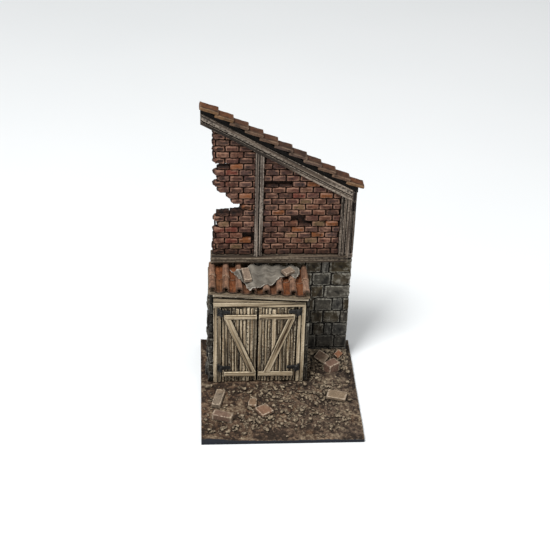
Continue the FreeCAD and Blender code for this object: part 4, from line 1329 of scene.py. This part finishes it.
def door_leaf(side, widths):
    """Split planks of uneven width, two ledges, a brace and straps, all on the leaf's own body."""
    body = f"{side}_door"
    low, high = box_mm(f"{body}_planks")
    size = high - low
    planks = []
    x = low.x
    for width in widths:
        wide = size.x * width / sum(widths)
        top = high.z - chance.uniform(0.0, 1.6)
        foot = low.z + chance.uniform(0.0, 0.4)
        back = chance.uniform(0, 0.45)
        plank = timber((top - foot, size.y - back, wide - PLANK_GAP), groove=0.55, shake=0.6, arris=0.13)
        planks.append(set_at(plank, (x + wide / 2, (low.y + high.y + back) / 2, (top + foot) / 2), UPRIGHT))
        x += wide
    # A board behind the planks is painted dark, as wash and painted shade in the gaps between them.
    backing = timber((size.z - 1.6, 0.5, size.x - 0.5), fine=0.9)
    set_at(backing, ((low.x + high.x) / 2, high.y - 0.3, (low.z + high.z) / 2), UPRIGHT)
    planks.append(sink_whole(backing))
    leaf = splash(join(planks, body))
    # The planks get painted shadow lines along the brace and under the ledges.
    sink(leaf, shaded_by_bars(points_of(leaf), body, side) | (values_of(leaf, "relief") < -0.9))
    finish_piece(leaf, f"{body}_boards", plank_paint, [f"{body}_planks"], body=body)
    for part in ("top_ledge", "bottom_ledge"):
        ledge_low, ledge_high = box_mm(f"{body}_{part}")
        ledge = timber(ledge_high - ledge_low, **PLANED)
        set_at(ledge, (ledge_low + ledge_high) / 2)
        finish_board(ledge, body, part)
    brace_low, brace_high = box_mm(f"{body}_brace")
    middle, spin, half = brace_line(body, side)
    length = (brace_high.z - brace_low.z) / math.sin(abs(spin)) + 4
    brace = timber((length, brace_high.y - brace_low.y, half * 2), **PLANED)
    set_at(brace, middle, turned(spin, "Y"))
    saw(brace, (0, 0, brace_low.z), (0, 0, -1))
    saw(brace, (0, 0, brace_high.z), (0, 0, 1))
    finish_board(brace, body, "brace")
    for part, rides_on in (("straps", body), ("pintles", "ruin")):
        node = f"{body}_{part}"
        iron = dress(node, 3, 0.12)
        points = points_of(iron)
        if part == "straps":
            # Each strap tapers to its tip.
            hinge = points[:, 0].min() if side == "left" else points[:, 0].max()
            tip = np.abs(points[:, 0] - hinge) / 6
            high_strap = points[:, 2] > points[:, 2].mean()
            for group in (high_strap, ~high_strap):
                middle = points[group, 2].mean()
                points[group, 2] = middle + (points[group, 2] - middle) * (1.15 - 0.55 * tip[group])
            points[:, 0] = shorter(points[:, 0], side, *STRAP_KEPT)
        else:
            points[:, 0] = shorter(points[:, 0], "right" if side == "left" else "left", *PINTLE_KEPT)
        place_points(iron, points)
        roughen(iron, CHIPS, 0.3)
        finish_piece(iron, f"{body}_{part}_iron", iron_finish, [node], body=rides_on)


door_leaf("left", (1.5, 1.7, 1.6, 1.5, 2.1, 1.5, 1.9, 1.6, 1.9, 1.5))
door_leaf("right", (1.9, 1.4, 1.3, 1.7, 2.3, 1.6, 2.0, 1.5, 1.9, 1.5, 1.3))

# --- roofs ------------------------------------------------------------------------------------------------
verge_low, verge_high = box_mm("verge_tiles")
verge = dress("verge_tiles", 5, 0.2)


def across_the_verge(points):
    """Where points lie across the row of tiles, from -1 at its front to 1 at its back."""
    return (points[:, 1] - (verge_low.y + verge_high.y) / 2) / ((verge_high.y - verge_low.y) / 2)


# The back edge of the row has slipped down a little.
points = points_of(verge)
points[:, 2] -= 0.15 * ease((across_the_verge(points) - 0.6) / 0.4)
place_points(verge, points)
roughen(verge, CHIPS, 0.22)
roughen(verge, DENTS, 0.35)
tint_islands(verge, VERGE_TINTS)
# The front of each ridge tile is painted tan, and a dark line runs above it.
aside = across_the_verge(points_of(verge))
TAN_FRONT = -0.76
GROOVE = -0.66
TAN_OVER_CLAY = (0.7, 1.8, 3.2, 0.0)
verge_tones = np.where(aside < TAN_FRONT, 1.0, 0.0)[:, None] * np.array(TAN_OVER_CLAY) + 1.0
verge_tones *= 1 - 0.75 * np.exp(-(((aside - GROOVE) / 0.1) ** 2))[:, None]
keep(verge, "tint", values_of(verge, "tint", 4) * verge_tones, 4)
# The lip between the two is rubbed pale.
keep(verge, "edge", np.maximum(values_of(verge, "edge"), np.abs(aside + 0.72) < 0.1))
finish_piece(verge, "verge_tiling", ridge_tile_paint, ["verge_tiles"])

LEAN_TO_RISE = math.radians(1.6)
LEAN_TO = (
    Matrix.Translation(base_low + Vector((3.7, 39.3, 56.75)))
    @ turned(LEAN_TO_FALL, "Y")
    @ turned(LEAN_TO_RISE, "X")
)
EAVE_Y = base_low.y + 39.3
# The rows of tiles: where the first cover lies, how far apart the rows are, a tile's length and its lap, the
# heights over the roof's boards at which covers and pans are seated, and how far back the eave course begins.
COVER_INSET = 1.8
COVER_PITCH = 6.23
COVER_COUNT = 8
TILE_LONG = 11.3
TILE_LAP = 1.0
COVER_SEAT = 1.9
PAN_SEAT = 3.43
FIRST_COURSE_BACK = 0.55


def curved_tile(tail_radius, head_radius, arc, thickness):
    """A tapered half-round tile, spun about its own axis from one slanting edge, its axis along Y."""
    tile = plain_shape(bpy.ops.mesh.primitive_plane_add, (1, 1, 1), size=1)
    start = (math.pi - arc) / 2
    with editing(tile):
        mesh = bmesh.from_edit_mesh(tile.data)
        bmesh.ops.delete(mesh, geom=[v for v in mesh.verts if v.co.x > 0], context="VERTS")
        for vertex, radius, y in zip(mesh.verts, (tail_radius, head_radius), (0.0, TILE_LONG)):
            vertex.co = (radius * math.cos(start), y, radius * math.sin(start))
        bmesh.update_edit_mesh(tile.data)
        bpy.ops.mesh.select_mode(type="VERT")
        bpy.ops.mesh.select_all(action="SELECT")
        bpy.ops.mesh.subdivide(number_cuts=12)
        bpy.ops.mesh.select_all(action="SELECT")
        bpy.ops.mesh.spin(steps=10, angle=arc, center=(0, 0, 0), axis=(0, 1, 0))
        bpy.ops.mesh.select_all(action="SELECT")
        bpy.ops.mesh.remove_doubles(threshold=0.001)
        bpy.ops.mesh.normals_make_consistent(inside=False)
    shape_with(tile, "SOLIDIFY", thickness=thickness, offset=0.0)
    apply_all(tile)
    ends = points_of(tile)[:, 1]
    keep(tile, "edge", (ends < 0.1) | (ends > TILE_LONG - 0.1))
    with editing(tile):
        bpy.ops.mesh.normals_make_consistent(inside=False)
    return tile


def lay_tiles(kinds, count, first_along, up, tints, flip=False):
    """Two courses of tiles from the eave up, a little out of line. Pans are flipped to lie hollow side up."""
    laid = []
    for course in range(2):
        for column in range(count):
            inward = course * (TILE_LONG - TILE_LAP) + (0.0 if course else FIRST_COURSE_BACK)
            place = (
                LEAN_TO
                @ Matrix.Translation((first_along + column * COVER_PITCH + chance.uniform(-0.12, 0.12),
                                      inward + chance.uniform(-0.2, 0.25), up + course * 0.02))
                @ turned(chance.uniform(-0.02, 0.02), "Z")
                @ turned(math.pi if flip else 0.0, "Y")
            )
            tile = copy_of(chance.choice(kinds), place)
            set_tint(tile, chance.choice(tints))
            if course == 0:
                # The tails at the eave are painted in shade.
                darken_in_shade(tile, np.clip((points_of(tile)[:, 1] - EAVE_Y - 0.8) / 0.9, 0.06, 1))
            elif flip:
                keep(tile, "edge", np.zeros(len(tile.data.vertices)))
            laid.append(tile)
    return laid


def worn_tiles(tail, head, arc, thickness):
    """Four tiles of one kind, each chipped in its own way."""
    kinds = []
    for number in range(4):
        kind = curved_tile(tail, head, arc, thickness)
        roughen(kind, CHIPS, 0.12)
        roughen(kind, DENTS, 0.25)
        kinds.append(kind)
    return kinds


cover_kinds = worn_tiles(1.5, 1.05, math.pi, 0.42)
covers = join(lay_tiles(cover_kinds, COVER_COUNT, COVER_INSET, COVER_SEAT, COVER_TINTS), "covers")
pan_kinds = worn_tiles(2.95, 3.25, math.radians(106), 0.35)
first_pan = COVER_INSET + COVER_PITCH / 2
pans = join(lay_tiles(pan_kinds, COVER_COUNT - 1, first_pan, PAN_SEAT, PAN_TINTS, flip=True), "pans")
discard(*cover_kinds, *pan_kinds)
finish_piece(pans, "roof_pans", tile_paint, ["pan_tiles"])

tarp_bricks = dress("tarp_bricks", 5, 0.2)
# Both bricks are lower than their blocks and lie further up the roof, pressed a little into the sheet.
BRICK_SHARE = 0.6
PRESSED_IN = 0.25
LEFT_SHIFT = (-0.5, 2.2)
RIGHT_SHIFT = (0.1, 3.2)
points = points_of(tarp_bricks)
on_left = points[:, 0] < points[:, 0].mean()
for group, shift in ((on_left, LEFT_SHIFT), (~on_left, RIGHT_SHIFT)):
    foot = points[group, 2].min()
    points[group, 2] = foot - PRESSED_IN + (points[group, 2] - foot) * BRICK_SHARE
    points[group, :2] += shift
place_points(tarp_bricks, points)
roughen(tarp_bricks, CHIPS, 0.2)
tint_islands(tarp_bricks, paints("#7f6a5c #8a7767"))
finish_piece(tarp_bricks, "weights_on_tarp", fallen_brick_paint, ["tarp_bricks"])

# --- tarpaulin --------------------------------------------------------------------------------------------
# The torn sheet's outline, in millimetres along the shed's roof and up it.
TARP_OUTLINE = [
    (9.0, 18.0), (11.4, 11.9), (13.3, 8.2), (16.5, 5.6), (18.5, -0.4), (21.6, 1.2), (24.7, 3.6),
    (28.8, 4.7), (32.2, 8.4), (35.8, 12.3), (37.9, 14.0), (39.4, 10.4), (41.0, 10.5), (43.3, 14.4),
    (43.6, 18.3), (43.0, 21.1), (39.4, 21.3), (32.6, 21.2), (24.4, 20.8), (20.2, 20.6), (18.6, 19.0),
    (14.3, 15.6), (11.3, 14.6),
]
# The height of the covers' crests, from which the sheet is dropped: seat, radius and half the thickness.
CREST = COVER_SEAT + 1.5 + 0.21
TARP_SIZE = (37, 23)
TARP_MIDDLE = (26.2, 10.4)
DRAPE_FRAMES = 30
RIM_PASSES = 3


def inside_outline(x, y, outline):
    """Whether a place is inside: a line from it to one side crosses the outline an odd number of times."""
    inside = False
    for (ax, ay), (bx, by) in zip(outline, outline[1:] + outline[:1]):
        if (ay > y) != (by > y) and x < (bx - ax) * (y - ay) / (by - ay) + ax:
            inside = not inside
    return inside


tarp = plain_shape(
    bpy.ops.mesh.primitive_grid_add, (*TARP_SIZE, 1), (*TARP_MIDDLE, CREST + 0.35), x_subdivisions=100,
    y_subdivisions=62, size=1)
bpy.ops.object.mode_set(mode="EDIT")
cloth_mesh = bmesh.from_edit_mesh(tarp.data)
outside = []
for face in cloth_mesh.faces:
    middle = face.calc_center_median()
    x = middle.x + 0.6 * noise.noise(middle * 0.8)
    y = middle.y + 0.6 * noise.noise(middle * 0.8 + Vector((40, 0, 0)))
    if not inside_outline(x, y, TARP_OUTLINE):
        outside.append(face)
bmesh.ops.delete(cloth_mesh, geom=outside, context="FACES")
for passed in range(RIM_PASSES):
    rim = [vertex for vertex in cloth_mesh.verts if vertex.is_boundary]
    bmesh.ops.smooth_vert(cloth_mesh, verts=rim, factor=0.5, use_axis_x=True, use_axis_y=True)
for vertex in cloth_mesh.verts:
    vertex.co.z += 0.25 * noise.noise(vertex.co * 0.35)
bmesh.update_edit_mesh(tarp.data)
bpy.ops.object.mode_set(mode="OBJECT")
tarp.data.transform(LEAN_TO)
shape_with(covers, "COLLISION")
covers.collision.thickness_outer = 0.1
cloth = shape_with(tarp, "CLOTH")
for name, value in (
    ("quality", 6), ("mass", 0.3), ("tension_stiffness", 20), ("compression_stiffness", 20),
    ("shear_stiffness", 6), ("bending_stiffness", 6), ("air_damping", 4),
):
    setattr(cloth.settings, name, value)
cloth.collision_settings.distance_min = 0.1
cloth.point_cache.frame_start = 1
cloth.point_cache.frame_end = DRAPE_FRAMES
for step in range(1, DRAPE_FRAMES + 1):
    bpy.context.scene.frame_set(step)
apply_all(tarp)
covers.modifiers.clear()
finish_piece(covers, "roof_covers", tile_paint, ["cover_tiles"])

# The right end curls up, and the far left corner lies in a low fold.
tarp.data.transform(LEAN_TO.inverted())
points = points_of(tarp)
fold = points[:, 0] - 12.6 - (18.0 - points[:, 1]) * 0.3
crease = ease(1 - np.abs(fold) / 0.5)
folded = fold < 0
points[:, 2] += 0.3 * crease
points[:, 2] += 0.16 * np.clip(points[:, 0] - 40.4, 0, 5) ** 2
# Between the covers the sheet hangs down a little towards the pans.
wave = (points[:, 0] - COVER_INSET) / COVER_PITCH
hollow = (1 - np.cos(2 * math.pi * wave)) / 2
points[:, 2] -= 0.32 * hollow * ease((41.0 - points[:, 0]) / 3)
# Soft creases run across it from one weight to the other and down to its torn foot.
# Where each begins along the roof and up it, how far it runs both ways, and its width.
CREASES = (
    (16.5, 12.0, 20.0, 3.2, 0.55), (17.5, 9.0, 4.6, -8.0, 0.5), (24.0, 17.8, 11.0, -2.4, 0.45),
    (27.0, 10.0, 6.5, 3.6, 0.4),
)
slack = np.zeros(len(points))
for x, y, run, rise, width in CREASES:
    along = ease(((points[:, 0] - x) * run + (points[:, 1] - y) * rise) / (run * run + rise * rise))
    away = np.hypot(points[:, 0] - x - along * run, points[:, 1] - y - along * rise)
    slack = np.maximum(slack, np.exp(-(away / width) ** 2) * np.sin(math.pi * np.clip(along, 0.05, 0.95)))
points[:, 2] += 0.22 * slack
place_points(tarp, points)
# Its torn hem is rubbed pale, and so is the top of the fold.
open_edges = np.zeros(len(points), np.float32)
uses = {}
for face in tarp.data.polygons:
    for key in face.edge_keys:
        uses[key] = uses.get(key, 0) + 1
for (first, second), count in uses.items():
    if count == 1:
        open_edges[first] = open_edges[second] = 1.0
inner = open_edges.copy()
for first, second in uses:
    inner[first] = max(inner[first], open_edges[second] * 0.75)
    inner[second] = max(inner[second], open_edges[first] * 0.75)
keep(tarp, "edge", np.maximum(inner, crease > 0.6))
# Painted shade darkens the folded corner and the hollows between the covers, and painted light brightens the
# creases.
tones = (np.where(folded, 0.72, 1.0) * (1.08 - 0.34 * hollow + 0.3 * slack))[:, None] * np.ones(4)
keep(tarp, "tint", tones, 4)
tarp.data.transform(LEAN_TO)
shape_with(tarp, "SOLIDIFY", thickness=0.26, offset=1.0)
apply_all(tarp)
finish_piece(tarp, "canvas_tarpaulin", tarp_finish, ["tarpaulin"], 60)
